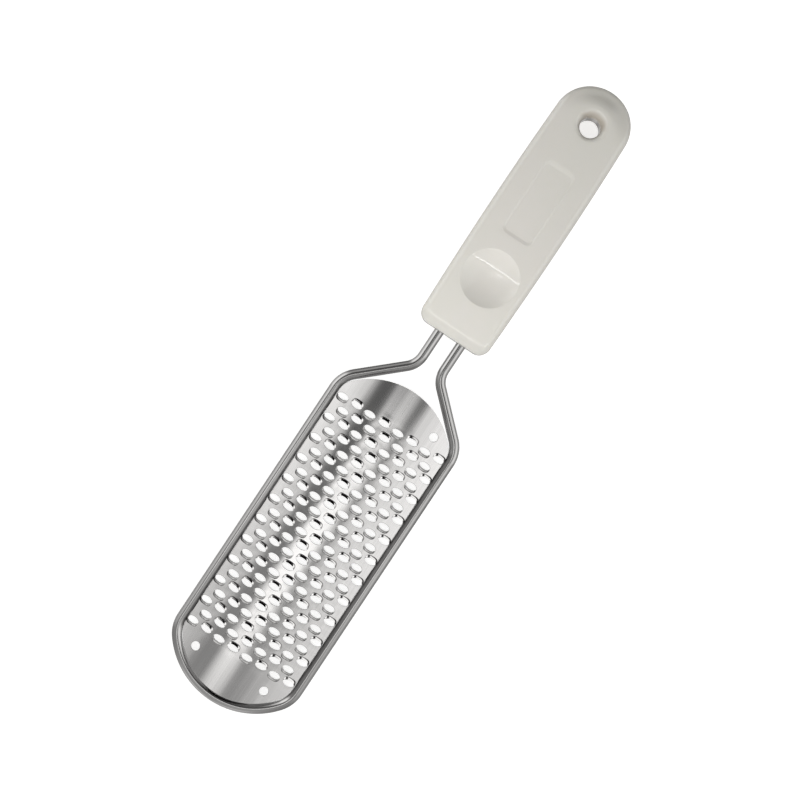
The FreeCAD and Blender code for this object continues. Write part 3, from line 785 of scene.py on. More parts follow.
def make_handle():
    m = Mesh()
    T, mid = HANDLE_T, HANDLE_T / 2
    p, n = handle_outline()
    K = len(p)

    def drop_of(x, y, z):
        s = np.clip((np.asarray(z, float) - mid) / (T - mid), 0, 1)
        return end_drop(x, y) * s

    def ring(inset, z):
        # the edge is fuller at the front end and tighter round the far end
        ease = 1.0 + (0.60 * smooth((31.5 - p[:, 1]) / 5.0) - 0.45 * smooth((p[:, 1] - 116) / 12.0) if z > 9.2 else 0.0)
        q = p - n * (inset * ease * np.ones(K))[:, None]
        zz = np.full(K, float(z))
        zz = zz - drop_of(q[:, 0], q[:, 1], zz)
        # painted shade: the upper front end of the wall and edge is painted darker
        front_end_shade = smooth((31.0 - q[:, 1]) / 4.0) * smooth((z - 6.0) / 3.0)
        return m.add(np.concatenate([q, zz[:, None]], 1), None, front_end_shade), q

    # side wall from the bottom face's edge up to the front face's edge
    rows = []
    for a in np.linspace(-90, 0, 11):
        rows.append((EDGE_R * (1 - math.cos(math.radians(a))), EDGE_R * (1 + math.sin(math.radians(a)))))
    rows += [(0.0, z) for z in (3.4, 4.1, 4.9, 5.7)]
    rows += [(0.0, mid - 0.16), (0.05, mid - 0.05), (0.05, mid + 0.05), (0.0, mid + 0.16)]   # parting line
    rows += [(0.0, z) for z in (6.8, 7.6, 8.4, 9.1)]
    # the front face's edge is a little fuller along the two ends than on the sides
    top_a = []
    for a in np.linspace(0, 90, 13):
        top_a.append((EDGE_R * (1 - math.cos(math.radians(a))), T - EDGE_R * (1 - math.sin(math.radians(a)))))
    ids, level = [], []
    for inset, z in rows + top_a:
        i, q = ring(inset, z)
        ids.append(i)
        level.append(z)
    last_q = q
    # two round mouths in the front end, where the legs go in
    hole_r, hole_x = WIRE_R + 0.10, LEG_X
    lo_row = next(i for i, (c, z) in enumerate(rows) if abs(z - 3.4) < 1e-6)
    hi_row = next(i for i, (c, z) in enumerate(rows) if abs(z - 9.1) < 1e-6)
    right_k = int(np.argmin(np.abs(p[:20, 0] - 9.0)))
    span = [(-i) % K for i in range(right_k, 0, -1)] + list(range(0, right_k + 1))
    span_set = {(span[i], span[i + 1]) for i in range(len(span) - 1)}
    for r in range(len(ids) - 1):
        for j in range(K):
            k = (j + 1) % K
            if lo_row <= r < hi_row and (j, k) in span_set:
                continue
            m.faces([(ids[r][j], ids[r][k], ids[r + 1][k], ids[r + 1][j])])
    # patch in the front wall: loop in (x, z), seen from in front
    allv = np.concatenate(m.v)
    loop = list(ids[lo_row][span]) + [ids[r][span[-1]] for r in range(lo_row + 1, hi_row)] \
        + list(ids[hi_row][span][::-1]) + [ids[r][span[0]] for r in range(hi_row - 1, lo_row, -1)]
    xy = allv[loop][:, [0, 2]]
    HN = 40
    ha = np.arange(HN) / HN * TAU
    rims = [np.stack([LEG_MID + sx * hole_x + (hole_r + 0.22) * np.cos(ha), WIRE_Z + (hole_r + 0.22) * np.sin(ha)], 1)
            for sx in (-1, 1)]
    ex = grid_points((-9, 3.4), (9, 9.1), 0.9, xy, rims, 0.45)
    pts, tri, fixed = fill_between(xy, rims, ex)
    new = m.add(np.stack([pts[len(xy):, 0], np.full(len(pts) - len(xy), HANDLE_FRONT_Y), pts[len(xy):, 1]], 1))
    lookup = np.array(list(loop) + list(new))
    m.faces(lookup[tri])
    for i, sx in enumerate((-1, 1)):
        prev = new[i * HN:(i + 1) * HN]
        for rr, dy in ((hole_r + 0.10, 0.03), (hole_r + 0.02, 0.12), (hole_r, 0.30), (hole_r, 1.6)):
            cur = m.add(np.stack([LEG_MID + sx * hole_x + rr * np.cos(ha), np.full(HN, HANDLE_FRONT_Y + dy),
                                  WIRE_Z + rr * np.sin(ha)], 1))
            m.faces(strip(prev, cur))
            prev = cur
        cc = m.add([(LEG_MID + sx * hole_x, HANDLE_FRONT_Y + 1.6, WIRE_Z)])[0]
        m.faces([(prev[j], prev[(j + 1) % HN], cc) for j in range(HN)])

    # ---- front face
    # thumb rest: rings from the middle out over a softened rim
    ball = (DISH_RIM_R ** 2 + DISH_DEPTH ** 2) / (2 * DISH_DEPTH)
    DN = 112
    da = np.arange(DN) / DN * TAU
    slope = math.asin(DISH_RIM_R / ball)
    soft = 0.75                                  # radius of the softened rim
    # the rim's rounding is tangent to the flat face and to the bowl
    rho_c = math.sqrt((ball + soft) ** 2 - (ball - DISH_DEPTH + soft) ** 2)
    tilt = math.atan2(rho_c, ball - DISH_DEPTH + soft)
    prof = []
    for f in np.linspace(0.06, 1, 15):
        th = tilt * f
        prof.append((ball * math.sin(th), T + ball - DISH_DEPTH - ball * math.cos(th)))
    for f in np.linspace(0, 1, 8)[1:]:
        th = tilt * (1 - f)
        prof.append((rho_c - soft * math.sin(th), T - soft + soft * math.cos(th)))
    dish = []
    for rr, z in prof:
        dish.append(m.add(np.stack([DISH_X + rr * np.cos(da), DISH_Y + rr * np.sin(da), np.full(DN, z)], 1)))
    c = m.add([(DISH_X, DISH_Y, T - DISH_DEPTH)])[0]
    m.faces([(dish[0][j], dish[0][(j + 1) % DN], c) for j in range(DN)])
    for a, b in zip(dish, dish[1:]):
        m.faces(strip(b, a))
    dish_loop = np.stack([DISH_X + prof[-1][0] * np.cos(da), DISH_Y + prof[-1][0] * np.sin(da)], 1)

    # hanging hole: wall, rounded mouth, shallow dish
    GN = 96
    ga = np.arange(GN) / GN * TAU
    zc = T - HANG_MOUTH
    prof = [(HANG_R, z, 0) for z in (1.0, 2.4, 4.2, 6.2, 8.2)]
    for f in np.linspace(0, 90, 15):
        a = math.radians(f)
        prof.append((HANG_R + HANG_MOUTH * (1 - math.cos(a)), zc + HANG_MOUTH * math.sin(a), f))
    prof += [(7.1, T, 90), (7.5, T, 90), (7.9, T, 90), (8.4, T, 90)]
    hang = []
    far_side = smooth((np.sin(ga) + 0.15) / 0.8)
    fuller = 0.72 + 0.44 * smooth((np.sin(ga) + 0.9) / 1.5)          # the mouth is tighter on its near side
    for rr, z, f in prof:
        if 0 < f and rr < 6.7:
            rr, z = HANG_R + (rr - HANG_R) * fuller, T + (z - T) * fuller
        x, y = HANG_X + rr * np.cos(ga), HANG_Y + rr * np.sin(ga)
        zz = z - drop_of(x, y, z)
        # painted shade: the hole's wall and mouth are painted darker, more on the far side and lower down
        shade = 0.72 * (0.45 * smooth((70 - f) / 66) * (1 - far_side) + smooth((92 - f) / 50) * far_side) \
            + 0.28 * smooth((8.5 - z) / 6.0)
        hang.append(m.add(np.stack([x, y, zz], 1), None, None, shade))
    for a, b in zip(hang, hang[1:]):
        m.faces(strip(b, a))
    hang_loop = np.stack([HANG_X + 8.4 * np.cos(ga), HANG_Y + 8.4 * np.sin(ga)], 1)

    # sunken panel: rounded shoulders and sloped walls
    d = PANEL_DEPTH
    w = PANEL_WALL
    steps = [(0.16, 0.0), (0.06, -0.006), (-0.03, -0.022), (-0.10, -0.045), (-w + 0.10, -d + 0.045),
             (-w + 0.03, -d + 0.022), (-w - 0.06, -d + 0.006), (-w - 0.16, -d)]
    panel = []

    def shallower(y):
        """The panel is a little less deep towards the far end."""
        return 1.0 - 0.45 * np.clip((y - PANEL_Y) / PANEL_L + 0.5, 0, 1)

    for off, dz in steps:
        lp = rounded_rect(PANEL_W + 1.3 * off, PANEL_L - 0.92 + 3.8 * (off + 0.4), max(0.35, PANEL_CORNER_R + 0.9 + off),
                          PANEL_X, PANEL_Y + 0.4 * (off + 0.4))
        panel.append((m.add(np.concatenate([lp, T + dz * shallower(lp[:, 1:2])], 1)), lp))
    for (a, _), (b, _) in zip(panel, panel[1:]):
        m.faces(strip(a, b))
    inner_ids, inner_lp = panel[-1]
    ex = grid_points((-7, 68), (7, 101), 1.6, inner_lp, [], 0.7)
    pts, tri, fixed = fill_between(inner_lp, [], ex)
    new = m.add(np.concatenate([pts[fixed:], T - d * shallower(pts[fixed:, 1:2])], 1))
    m.faces(np.concatenate([inner_ids, new])[tri])

    # the plain part of the front face
    holes = [dish_loop, hang_loop, panel[0][1]]
    ex = grid_points((-13, 28), (13, 131), 1.25, last_q, holes, 0.55)
    pts, tri, fixed = fill_between(last_q, holes, ex)
    zz = T - drop_of(pts[fixed:, 0], pts[fixed:, 1], np.full(len(pts) - fixed, T))
    new = m.add(np.concatenate([pts[fixed:], zz[:, None]], 1))
    look = np.concatenate([ids[-1], dish[-1], hang[-1], panel[0][0], new])
    m.faces(look[tri])

    # ---- back face with the hole's rear mouth
    back = []
    for f in np.linspace(0, 90, 8):
        a = math.radians(f)
        rr, z = HANG_R + 0.8 * (1 - math.cos(a)), 0.8 * (1 - math.sin(a))
        # painted shade: the rear mouth is painted fully dark
        back.append(m.add(np.stack([HANG_X + rr * np.cos(ga), HANG_Y + rr * np.sin(ga), np.full(GN, z)], 1), None, None, 1.0))
    for a, b in zip(back, back[1:]):
        m.faces(strip(a, b))
    m.faces(strip(hang[0], back[0]))
    q0 = p - n * EDGE_R
    bl = np.stack([HANG_X + (HANG_R + 0.8) * np.cos(ga), HANG_Y + (HANG_R + 0.8) * np.sin(ga)], 1)
    ex = grid_points((-13, 28), (13, 131), 3.0, q0, [bl], 1.2)
    pts, tri, fixed = fill_between(q0, [bl], ex)
    new = m.add(np.concatenate([pts[fixed:], np.zeros((len(pts) - fixed, 1))], 1))
    look = np.concatenate([ids[0], back[-1], new])
    m.faces(look[tri][:, ::-1])
    return m.build("handle_moulding")


# ------------------------------------------------------------------- materials
def new_material(name):
    mat = bpy.data.materials.new(name)
    mat.use_nodes = True
    nt = mat.node_tree
    nt.nodes.clear()
    out = nt.nodes.new("ShaderNodeOutputMaterial")
    bsdf = nt.nodes.new("ShaderNodeBsdfPrincipled")
    nt.links.new(bsdf.outputs[0], out.inputs[0])
    return mat, nt, bsdf


def node(nt, kind, **props):
    x = nt.nodes.new(kind)
    for k, v in props.items():
        setattr(x, k, v)
    return x


def math_node(nt, op, a, b=None, clamp=False):
    x = nt.nodes.new("ShaderNodeMath")
    x.operation = op
    x.use_clamp = clamp
    for i, v in enumerate((a, b)):
        if v is None:
            continue
        if isinstance(v, (int, float)):
            x.inputs[i].default_value = v
        else:
            nt.links.new(v, x.inputs[i])
    return x.outputs[0]


def map_range(nt, v, a, b, c, d, interp="SMOOTHSTEP"):
    x = nt.nodes.new("ShaderNodeMapRange")
    x.interpolation_type = interp
    x.clamp = True
    nt.links.new(v, x.inputs["Value"])
    for k, val in zip(("From Min", "From Max", "To Min", "To Max"), (a, b, c, d)):
        x.inputs[k].default_value = val
    return x.outputs["Result"]


def noise(nt, vec, scale, detail=2.0, rough=0.5):
    x = nt.nodes.new("ShaderNodeTexNoise")
    x.inputs["Scale"].default_value = scale
    x.inputs["Detail"].default_value = detail
    x.inputs["Roughness"].default_value = rough
    nt.links.new(vec, x.inputs["Vector"])
    return x.outputs["Fac"]


def scaled(nt, vec, s, rot=(0, 0, 0)):
    x = nt.nodes.new("ShaderNodeMapping")
    x.inputs["Scale"].default_value = s
    x.inputs["Rotation"].default_value = rot
    nt.links.new(vec, x.inputs["Vector"])
    return x.outputs["Vector"]


def ramp(nt, fac, stops):
    x = nt.nodes.new("ShaderNodeValToRGB")
    el = x.color_ramp.elements
    el[0].position, el[0].color = stops[0][0], (*stops[0][1], 1)
    el[1].position, el[1].color = stops[-1][0], (*stops[-1][1], 1)
    for pos, col in stops[1:-1]:
        e = el.new(pos)
        e.color = (*col, 1)
    nt.links.new(fac, x.inputs["Fac"])
    return x.outputs["Color"]


def steel(name, base, rough, rough_var, aniso, streak_len, streak_wide, bump, drawn=0.0, crevice_shade=0.0,
          tint=(1.0, 0.99, 0.985)):
    """Brushed stainless: grain runs along the UV map's U, which is in metres. Wear is 0.3 on drawn lips and
    1 on cut edges; painted shade darkens the colour in corners and creases, where shade falls."""
    mat, nt, b = new_material(name)
    uv = node(nt, "ShaderNodeUVMap", uv_map="UVMap").outputs[0]
    fine = noise(nt, scaled(nt, uv, (streak_len, streak_wide, 1)), 1.0, 3.0, 0.6)
    broad = noise(nt, scaled(nt, uv, (streak_len * 0.4, streak_wide * 0.16, 1)), 1.0, 2.0, 0.5)
    cloud = noise(nt, scaled(nt, uv, (60, 90, 1)), 1.0, 3.0, 0.55)
    wear_and_shade = node(nt, "ShaderNodeAttribute", attribute_name="wear_and_shade").outputs["Fac"]
    mix = math_node(nt, "ADD", math_node(nt, "MULTIPLY", fine, 0.5), math_node(nt, "MULTIPLY", broad, 0.5))
    lo = tuple(base * t * 0.90 for t in tint)
    hi = tuple(min(1.0, base * t * 1.08) for t in tint)
    col = ramp(nt, mix, [(0.30, lo), (0.70, hi)])
    # cutting edges are ground bright; the lips, stretched smooth, shine more than the sheet
    worn = node(nt, "ShaderNodeMix", data_type="RGBA")
    nt.links.new(map_range(nt, wear_and_shade, 0.5, 1.0, 0.0, 0.5), worn.inputs["Factor"])
    nt.links.new(col, worn.inputs["A"])
    worn.inputs["B"].default_value = (min(1, base * 1.2), min(1, base * 1.19), min(1, base * 1.17), 1)
    # painted shade: where the painted shade attribute is set, the colour goes nearly black in patches and the surface
    # duller
    painted_dark = node(nt, "ShaderNodeAttribute", attribute_name="painted_shade").outputs["Fac"]
    patchy = math_node(nt, "MULTIPLY", painted_dark, map_range(nt, cloud, 0.25, 0.75, 0.80, 1.0))
    shaded_colour = node(nt, "ShaderNodeMix", data_type="RGBA")
    nt.links.new(math_node(nt, "MULTIPLY", patchy, crevice_shade), shaded_colour.inputs["Factor"])
    nt.links.new(worn.outputs["Result"], shaded_colour.inputs["A"])
    shaded_colour.inputs["B"].default_value = (0.030, 0.028, 0.027, 1)
    nt.links.new(shaded_colour.outputs["Result"], b.inputs["Base Color"])
    r = math_node(nt, "ADD", math_node(nt, "MULTIPLY", mix, rough_var), rough - rough_var * 0.75)
    r = math_node(nt, "ADD", r, math_node(nt, "MULTIPLY", cloud, rough_var * 0.5))
    r = math_node(nt, "SUBTRACT", r, map_range(nt, wear_and_shade, 0.0, 0.28, 0.0, rough * drawn), clamp=True)
    r = math_node(nt, "ADD", r, math_node(nt, "MULTIPLY", painted_dark, 0.20))
    b.inputs["Metallic"].default_value = 1.0
    nt.links.new(r, b.inputs["Roughness"])
    b.inputs["Anisotropic"].default_value = aniso
    tan = node(nt, "ShaderNodeTangent", direction_type="UV_MAP", uv_map="UVMap")
    nt.links.new(tan.outputs[0], b.inputs["Tangent"])
    bp = node(nt, "ShaderNodeBump")
    bp.inputs["Strength"].default_value = 1.0
    bp.inputs["Distance"].default_value = bump
    h = math_node(nt, "ADD", math_node(nt, "MULTIPLY", fine, 0.25), broad)
    nt.links.new(h, bp.inputs["Height"])
    nt.links.new(bp.outputs[0], b.inputs["Normal"])
    return mat


def weld_metal():
    mat, nt, b = new_material("weld_metal_tinted")
    tc = node(nt, "ShaderNodeTexCoord").outputs["Object"]
    wear_and_shade = node(nt, "ShaderNodeAttribute", attribute_name="wear_and_shade").outputs["Fac"]
    cloud = noise(nt, scaled(nt, tc, (900, 900, 900)), 1.0, 3.0, 0.6)
    f = math_node(nt, "ADD", math_node(nt, "MULTIPLY", cloud, 0.35), math_node(nt, "MULTIPLY", wear_and_shade, 0.65))
    col = ramp(nt, f, [(0.1, (0.50, 0.49, 0.48)), (0.45, (0.42, 0.36, 0.29)), (0.62, (0.30, 0.27, 0.30)), (0.9, (0.44, 0.44, 0.45))])
    nt.links.new(col, b.inputs["Base Color"])
    b.inputs["Metallic"].default_value = 1.0
    nt.links.new(map_range(nt, cloud, 0.3, 0.7, 0.28, 0.5), b.inputs["Roughness"])
    bp = node(nt, "ShaderNodeBump")
    bp.inputs["Strength"].default_value = 0.6
    bp.inputs["Distance"].default_value = 0.00002
    nt.links.new(cloud, bp.inputs["Height"])
    nt.links.new(bp.outputs[0], b.inputs["Normal"])
    return mat


def plastic():
    """Off-white moulded plastic: glossy skin over a soft body, the faintest flow marks and orange peel, with shade
    painted darker into the hanging hole and onto the front end's edge.
    """
    mat, nt, b = new_material("handle_plastic_gloss")
    tc = node(nt, "ShaderNodeTexCoord").outputs["Object"]
    flow = noise(nt, scaled(nt, tc, (60, 22, 60)), 1.0, 2.0, 0.5)
    mottle = noise(nt, scaled(nt, tc, (420, 420, 420)), 1.0, 2.0, 0.5)
    peel = noise(nt, scaled(nt, tc, (1500, 1500, 1500)), 1.0, 2.0, 0.5)
    f = math_node(nt, "ADD", math_node(nt, "MULTIPLY", flow, 0.7), math_node(nt, "MULTIPLY", mottle, 0.3))
    col = ramp(nt, f, [(0.25, (0.482, 0.475, 0.436)), (0.50, (0.491, 0.479, 0.444)), (0.75, (0.500, 0.482, 0.453))])
    # painted shade: the hanging hole's wall and mouth are painted a darker brown where shade falls in the hole
    hole_shade = node(nt, "ShaderNodeAttribute", attribute_name="painted_shade").outputs["Fac"]
    tone = node(nt, "ShaderNodeMix", data_type="RGBA")
    nt.links.new(math_node(nt, "MULTIPLY", hole_shade, map_range(nt, mottle, 0.2, 0.8, 0.78, 0.84)), tone.inputs["Factor"])
    nt.links.new(col, tone.inputs["A"])
    tone.inputs["B"].default_value = (0.20, 0.16, 0.12, 1)
    # painted shade: the front end's edge is painted darker and greyer
    front_shade = node(nt, "ShaderNodeAttribute", attribute_name="wear_and_shade").outputs["Fac"]
    painted_dark = node(nt, "ShaderNodeMix", data_type="RGBA")
    nt.links.new(math_node(nt, "MULTIPLY", front_shade, map_range(nt, mottle, 0.2, 0.8, 0.34, 0.40)), painted_dark.inputs["Factor"])
    nt.links.new(tone.outputs["Result"], painted_dark.inputs["A"])
    painted_dark.inputs["B"].default_value = (0.235, 0.232, 0.215, 1)
    nt.links.new(painted_dark.outputs["Result"], b.inputs["Base Color"])
    rough = math_node(nt, "ADD", map_range(nt, flow, 0.3, 0.7, 0.30, 0.34), math_node(nt, "MULTIPLY", mottle, 0.03))
    nt.links.new(rough, b.inputs["Roughness"])
    b.inputs["IOR"].default_value = 1.49
    b.inputs["Specular IOR Level"].default_value = 0.35
    b.inputs["Coat Weight"].default_value = 1.0
    b.inputs["Coat Roughness"].default_value = 0.035
    b.inputs["Coat IOR"].default_value = 1.45
    b.inputs["Subsurface Weight"].default_value = 0.10
    b.inputs["Subsurface Radius"].default_value = (0.0016, 0.0014, 0.0010)
    b.inputs["Subsurface Scale"].default_value = 1.0
    bp = node(nt, "ShaderNodeBump")
    bp.inputs["Strength"].default_value = 0.35
    bp.inputs["Distance"].default_value = 0.000003
    h = math_node(nt, "ADD", peel, math_node(nt, "MULTIPLY", mottle, 1.5))
    nt.links.new(h, bp.inputs["Height"])
    nt.links.new(bp.outputs[0], b.inputs["Normal"])
    return mat


def floor_material():
    mat, nt, b = new_material("pale_floor")
    tc = node(nt, "ShaderNodeTexCoord").outputs["Object"]
    f = noise(nt, scaled(nt, tc, (9, 9, 9)), 1.0, 2.0, 0.5)
    col = ramp(nt, f, [(0.3, (0.80, 0.80, 0.80)), (0.7, (0.82, 0.82, 0.82))])
    nt.links.new(col, b.inputs["Base Color"])
    b.inputs["Roughness"].default_value = 0.9
    b.inputs["Specular IOR Level"].default_value = 0.0
    b.inputs["Emission Color"].default_value = (1.0, 1.0, 0.995, 1)
    b.inputs["Emission Strength"].default_value = 0.72
    return mat


# ----------------------------------------------------------------------- world
# brightness round the section at right angles to the tool, by degrees from overhead; minus is the left
SIDE_STOPS = [(-180, 0.40), (-130, 0.45), (-100, 0.75), (-85, 1.00), (-57, 1.75), (-42, 1.20), (-38, 1.04), (-36, 0.74),
              (-35, 0.58), (-34.2, 0.49), (-33.5, 0.44), (-30, 0.12), (-27, 0.0), (12, 0.0), (14, 0.50), (16.5, 0.87),
              (21, 0.88), (34, 0.96), (38, 1.15), (57, 1.50), (75, 0.95), (88, 0.45), (100, 0.40), (130, 0.45), (180, 0.40)]
SIDE_STOPS_NEAR = [(-180, 0.30), (-130, 0.35), (-100, 0.50), (-85, 0.60), (-57, 0.80), (-42, 0.70), (-38, 0.42), (-37.2, 0.37),
                   (-36.5, 0.22), (-35.8, 0.08), (-35, 0.0), (14, 0.0), (20, 0.03), (23, 0.07), (25.3, 0.14), (30, 0.22),
                   (33, 0.31), (36, 0.43), (40, 0.60), (57, 0.80), (75, 0.65), (88, 0.40), (100, 0.35), (130, 0.35), (180, 0.30)]
# the overhead panel's edges (and its softer edges at the near end), and how its light rises and falls towards the near end
OVER_LEFT = [(-180, 0.0), (-19.5, 0.0), (-17.2, 0.04), (-16, 0.14), (-14.8, 0.45), (-13.6, 0.92), (-12.2, 1.12), (-10.8, 1.10),
             (-9, 1.00), (180, 1.0)]
OVER_LEFT_SOFT = [(-180, 0.0), (-20, 0.0), (-17.5, 0.12), (-15, 0.42), (-12.5, 0.72), (-9.4, 0.88), (-5, 1.00), (180, 1.0)]
OVER_RIGHT = [(-180, 1.15), (-9, 1.15), (-3, 1.22), (1.0, 1.14), (3.5, 1.06), (6, 0.80), (8.5, 0.36), (11, 0.13), (14, 0.04),
              (18, 0.0), (180, 0.0)]
OVER_RIGHT_SOFT = [(-180, 1.15), (-9, 1.15), (-3, 1.15), (0, 1.02), (3, 0.82), (6, 0.56), (8.5, 0.28), (11, 0.08), (14, 0.0),
                   (180, 0.0)]
OVER_RISE = [(-180, 0.0), (-12.5, 0.0), (-10.5, 0.36), (-9.4, 0.55), (-8.8, 0.70), (-8.0, 0.92), (-7.1, 1.08), (-6.15, 1.22),
             (-5.2, 1.35), (-4.3, 1.40), (-3.35, 1.37), (-2.4, 1.14), (-1.47, 0.66), (-0.7, 0.14), (-0.1, 0.0), (180, 0.0)]
# the dim part beyond it towards the handle
OVER_STOPS_FAR = [(-180, 0.0), (-20, 0.0), (-15.8, 0.10), (-12.3, 0.26), (-9.4, 0.08), (-5, 0.13), (-2.5, 0.27), (2, 0.49),
                  (5, 0.39), (8.5, 0.17), (12, 0.02), (15, 0.0), (180, 0.0)]


def make_world():
    """Soft studio surroundings: a lit panel on each side, a small one overhead beside the camera, a black flag beyond
    the far end and a grey near end. What the camera sees directly beyond the floor is plain and pale."""
    w = bpy.data.worlds.new("studio")
    bpy.context.scene.world = w
    w.use_nodes = True
    nt = w.node_tree
    nt.nodes.clear()
    out = nt.nodes.new("ShaderNodeOutputWorld")
    tc = nt.nodes.new("ShaderNodeTexCoord")
    sep = nt.nodes.new("ShaderNodeSeparateXYZ")
    nt.links.new(tc.outputs["Generated"], sep.inputs[0])
    dx, dy, dz = sep.outputs
    DEG = 180 / math.pi

    def m(op, a, b=None):
        return math_node(nt, op, a, b)

    alpha = m("MULTIPLY", m("ARCTAN2", dx, dz), DEG)             # tilt to the right of overhead
    beta = m("MULTIPLY", m("ARCSINE", dy), DEG)                  # tilt towards the handle
    far_az = m("ABSOLUTE", m("MULTIPLY", m("ARCTAN2", dx, dy), DEG))                       # from the far end
    near_az = m("ABSOLUTE", m("MULTIPLY", m("ARCTAN2", dx, m("MULTIPLY", dy, -1.0)), DEG))   # from the near end
    height = m("MULTIPLY", m("ARCSINE", dz), DEG)

    def ss(v, a, b, c=0.0, d=1.0):
        return map_range(nt, v, a, b, c, d)

    def curve(v, stops):
        """Piecewise brightness over an angle from -180 to 180; the ramp holds a quarter of each value."""
        f = m("MULTIPLY", m("ADD", v, 180.0), 1 / 360.0)
        c = ramp(nt, f, [((a + 180) / 360.0, (e / 4, e / 4, e / 4)) for a, e in stops])
        sp = nt.nodes.new("ShaderNodeSeparateColor")
        nt.links.new(c, sp.inputs[0])
        return m("MULTIPLY", sp.outputs[0], 4.0)

    # side panels: crisp-edged level with the tool and beyond, softer and dimmer towards the near end
    soft = ss(beta, -4.5, -9, 0.0, 1.0)
    # the right panel's edge steps a little outwards beside the neck
    step = m("MULTIPLY", m("MULTIPLY", ss(alpha, 6, 12), ss(alpha, 22, 30, 1.0, 0.0)), ss(beta, -1.35, -0.6, 0.0, 5.2))
    side = m("ADD", m("MULTIPLY", curve(m("SUBTRACT", alpha, step), SIDE_STOPS), m("SUBTRACT", 1.0, soft)),
             m("MULTIPLY", curve(alpha, SIDE_STOPS_NEAR), soft))
    side = m("MULTIPLY", side, ss(beta, -11, 1, 0.86, 1.0))
    # both fall off along the blade, and their low parts more so
    fade_left = m("MULTIPLY", ss(alpha, -28, -20, 1.0, 0.0), ss(beta, -5.8, -1.0, 0.21, 0.0))
    fade_right = m("MULTIPLY", ss(alpha, 27, 32), ss(beta, -4.0, -1.2, 0.13, 0.0))
    side = m("MULTIPLY", side, m("SUBTRACT", 1.0, m("ADD", fade_left, fade_right)))
    low_part = m("MULTIPLY", ss(m("ABSOLUTE", alpha), 41, 50), ss(beta, -1.2, 1.4, 1.0, 0.0))
    side = m("MULTIPLY", side, m("SUBTRACT", 1.0, m("MULTIPLY", low_part, ss(alpha, -10, 10, 0.26, 0.46))))
    # black flag beyond the far end, and the darker corners on both sides of the near end
    far_turn = m("MULTIPLY", m("ARCTAN2", dx, dy), DEG)
    flag = m("MULTIPLY", ss(far_az, 27, 37, 1.0, 0.0), ss(beta, 8, 20))
    flag_left = m("MULTIPLY", m("MULTIPLY", ss(far_turn, -62, -50), ss(far_turn, -36, -27, 1.0, 0.0)), ss(beta, 18, 30, 0.0, 0.66))
    opening = m("MULTIPLY", m("MULTIPLY", ss(far_turn, 7, 16), ss(far_turn, 60, 80, 1.0, 0.0)), ss(beta, 40, 52))
    flag = m("MULTIPLY", m("MAXIMUM", flag, flag_left), m("SUBTRACT", 1.0, m("MULTIPLY", opening, 0.92)))
    corner = m("MULTIPLY", m("MULTIPLY", ss(near_az, 18, 30), ss(near_az, 58, 72, 1.0, 0.0)), ss(height, 34, 58, 1.0, 0.0))
    side = m("MULTIPLY", side, m("SUBTRACT", 1.0, m("MULTIPLY", corner, 0.85)))
    # overhead panel beside the camera, with a dim part beyond it; towards the near end it narrows and drifts left
    blur = ss(beta, -4.8, -7.5)
    left = m("ADD", m("MULTIPLY", curve(alpha, OVER_LEFT), m("SUBTRACT", 1.0, blur)),
             m("MULTIPLY", curve(alpha, OVER_LEFT_SOFT), blur))
    drift = m("SUBTRACT", ss(beta, -4.2, -9.2, 0.0, 5.0), ss(beta, -3.3, -2.5, 0.0, 3.0))
    drift = m("ADD", drift, ss(beta, -2.2, -1.4, 0.0, 2.0))
    drifted = m("ADD", alpha, drift)
    right = m("ADD", m("MULTIPLY", curve(drifted, OVER_RIGHT), m("SUBTRACT", 1.0, blur)),
              m("MULTIPLY", curve(drifted, OVER_RIGHT_SOFT), blur))
    panel = m("MULTIPLY", left, right)
    over = m("ADD", m("MULTIPLY", panel, curve(beta, OVER_RISE)),
             m("MULTIPLY", curve(alpha, OVER_STOPS_FAR), m("MULTIPLY", ss(beta, -3.9, -0.2), ss(beta, 0, 4, 1.0, 0.45))))
    # grey near end and the room
    near = m("MULTIPLY", ss(beta, -14, -5, 0.22, 0.0), ss(near_az, 20, 45, 1.0, 0.0))
    room = m("ADD", ss(beta, -5.0, -1.5, 0.27, 0.12), ss(beta, -9, -5, 0.07, 0.0))
    total = m("ADD", m("ADD", side, over), m("ADD", near, room))
    total = m("MULTIPLY", total, m("SUBTRACT", 1.0, m("MULTIPLY", flag, 0.985)))
    bg = nt.nodes.new("ShaderNodeBackground")
    comb = nt.nodes.new("ShaderNodeCombineColor")
    for i, k in enumerate((1.0, 0.995, 0.985)):
        nt.links.new(m("MULTIPLY", total, k), comb.inputs[i])
    nt.links.new(comb.outputs[0], bg.inputs["Color"])
    bg.inputs["Strength"].default_value = 1.0
    plain = nt.nodes.new("ShaderNodeBackground")
    plain.inputs["Color"].default_value = (0.96, 0.96, 0.955, 1)
    lp = nt.nodes.new("ShaderNodeLightPath")
    mix = nt.nodes.new("ShaderNodeMixShader")
    nt.links.new(lp.outputs["Is Camera Ray"], mix.inputs[0])
    nt.links.new(bg.outputs[0], mix.inputs[1])
    nt.links.new(plain.outputs[0], mix.inputs[2])
    nt.links.new(mix.outputs[0], out.inputs["Surface"])
    return w


def area(name, place, target, size, power, glossy=False):
    data = bpy.data.lights.new(name, "AREA")
    data.shape = "RECTANGLE"
    data.size, data.size_y = size
    data.energy = power
    ob = bpy.data.objects.new(name, data)
    bpy.context.scene.collection.objects.link(ob)
    ob.location = place
    ob.rotation_mode = "QUATERNION"
    ob.rotation_quaternion = (Vector(target) - Vector(place)).to_track_quat("-Z", "Y")
    ob.visible_glossy = glossy
    return ob


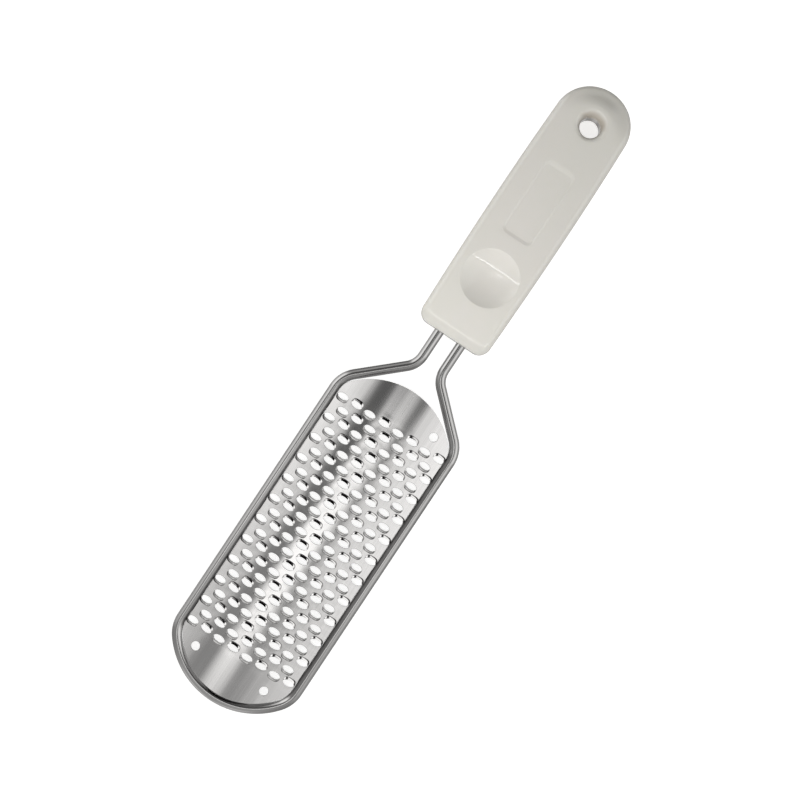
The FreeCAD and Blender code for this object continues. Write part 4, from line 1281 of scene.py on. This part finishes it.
# ----------------------------------------------------------------------- build
LOW = 1.27                                 # watts
rod = make_rod()
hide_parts("wire_frame")
blade = make_blade()
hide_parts("grater_blade")
welds = make_welds()
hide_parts("blade_welds")
grip = make_handle()
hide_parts("handle")

rod.data.materials.append(steel("frame_wire_satin", 0.46, 0.14, 0.03, 0.30, 14, 700, 0.0000008, crevice_shade=0.85))
blade.data.materials.append(steel("blade_sheet_brushed", 0.66, 0.13, 0.06, 0.30, 26, 3300, 0.0000022, drawn=0.40, crevice_shade=0.85))
welds.data.materials.append(weld_metal())
grip.data.materials.append(plastic())

for ob, slot in ((rod, "frame_wire"), (blade, "blade_sheet"), (welds, "weld_metal"), (grip, "handle_plastic")):
    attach(ob, "root")

floor_me = bpy.data.meshes.new("floor")
floor_me.from_pydata([(-6, -6, -0.0004), (6, -6, -0.0004), (6, 6, -0.0004), (-6, 6, -0.0004)], [], [(0, 1, 2, 3)])
floor = bpy.data.objects.new("floor", floor_me)
bpy.context.scene.collection.objects.link(floor)
floor.data.materials.append(floor_material())
floor.visible_glossy = False

make_world()
# a soft lamp above the blade, turned towards the handle and kept off the metal
low = area("low_front", (-0.035, -0.20, 0.252), (0.0, 0.07, 0.01), (0.12, 0.12), LOW)
# a ceiling tube that glints in the thumb rest; it is kept off the metal
tube = area("tube", (-0.030, 0.0555 - 0.9 * math.tan(math.radians(13.0)), 0.9), (-0.025, -0.13, 0), (1.50, 0.032), 1.18, True)
tube.rotation_quaternion = (1, 0, 0, 0)
tube.visible_camera = False
short = area("tube_short", (-0.148, 0.0555 - 0.9 * math.tan(math.radians(7.2)), 0.9), (0, 0, 0), (0.12, 0.020), 0.07, True)
short.rotation_quaternion = (1, 0, 0, 0)
short.visible_camera = False
low.visible_camera = False
lit = bpy.data.collections.new("tube_lights_only")
lit.objects.link(grip)
tube.light_linking.receiver_collection = lit
low.light_linking.receiver_collection = lit
short.light_linking.receiver_collection = lit

scene = bpy.context.scene
scene.view_settings.view_transform = "Standard"
scene.view_settings.look = "None"
scene.view_settings.exposure = 0.0
scene.view_settings.gamma = 1.0
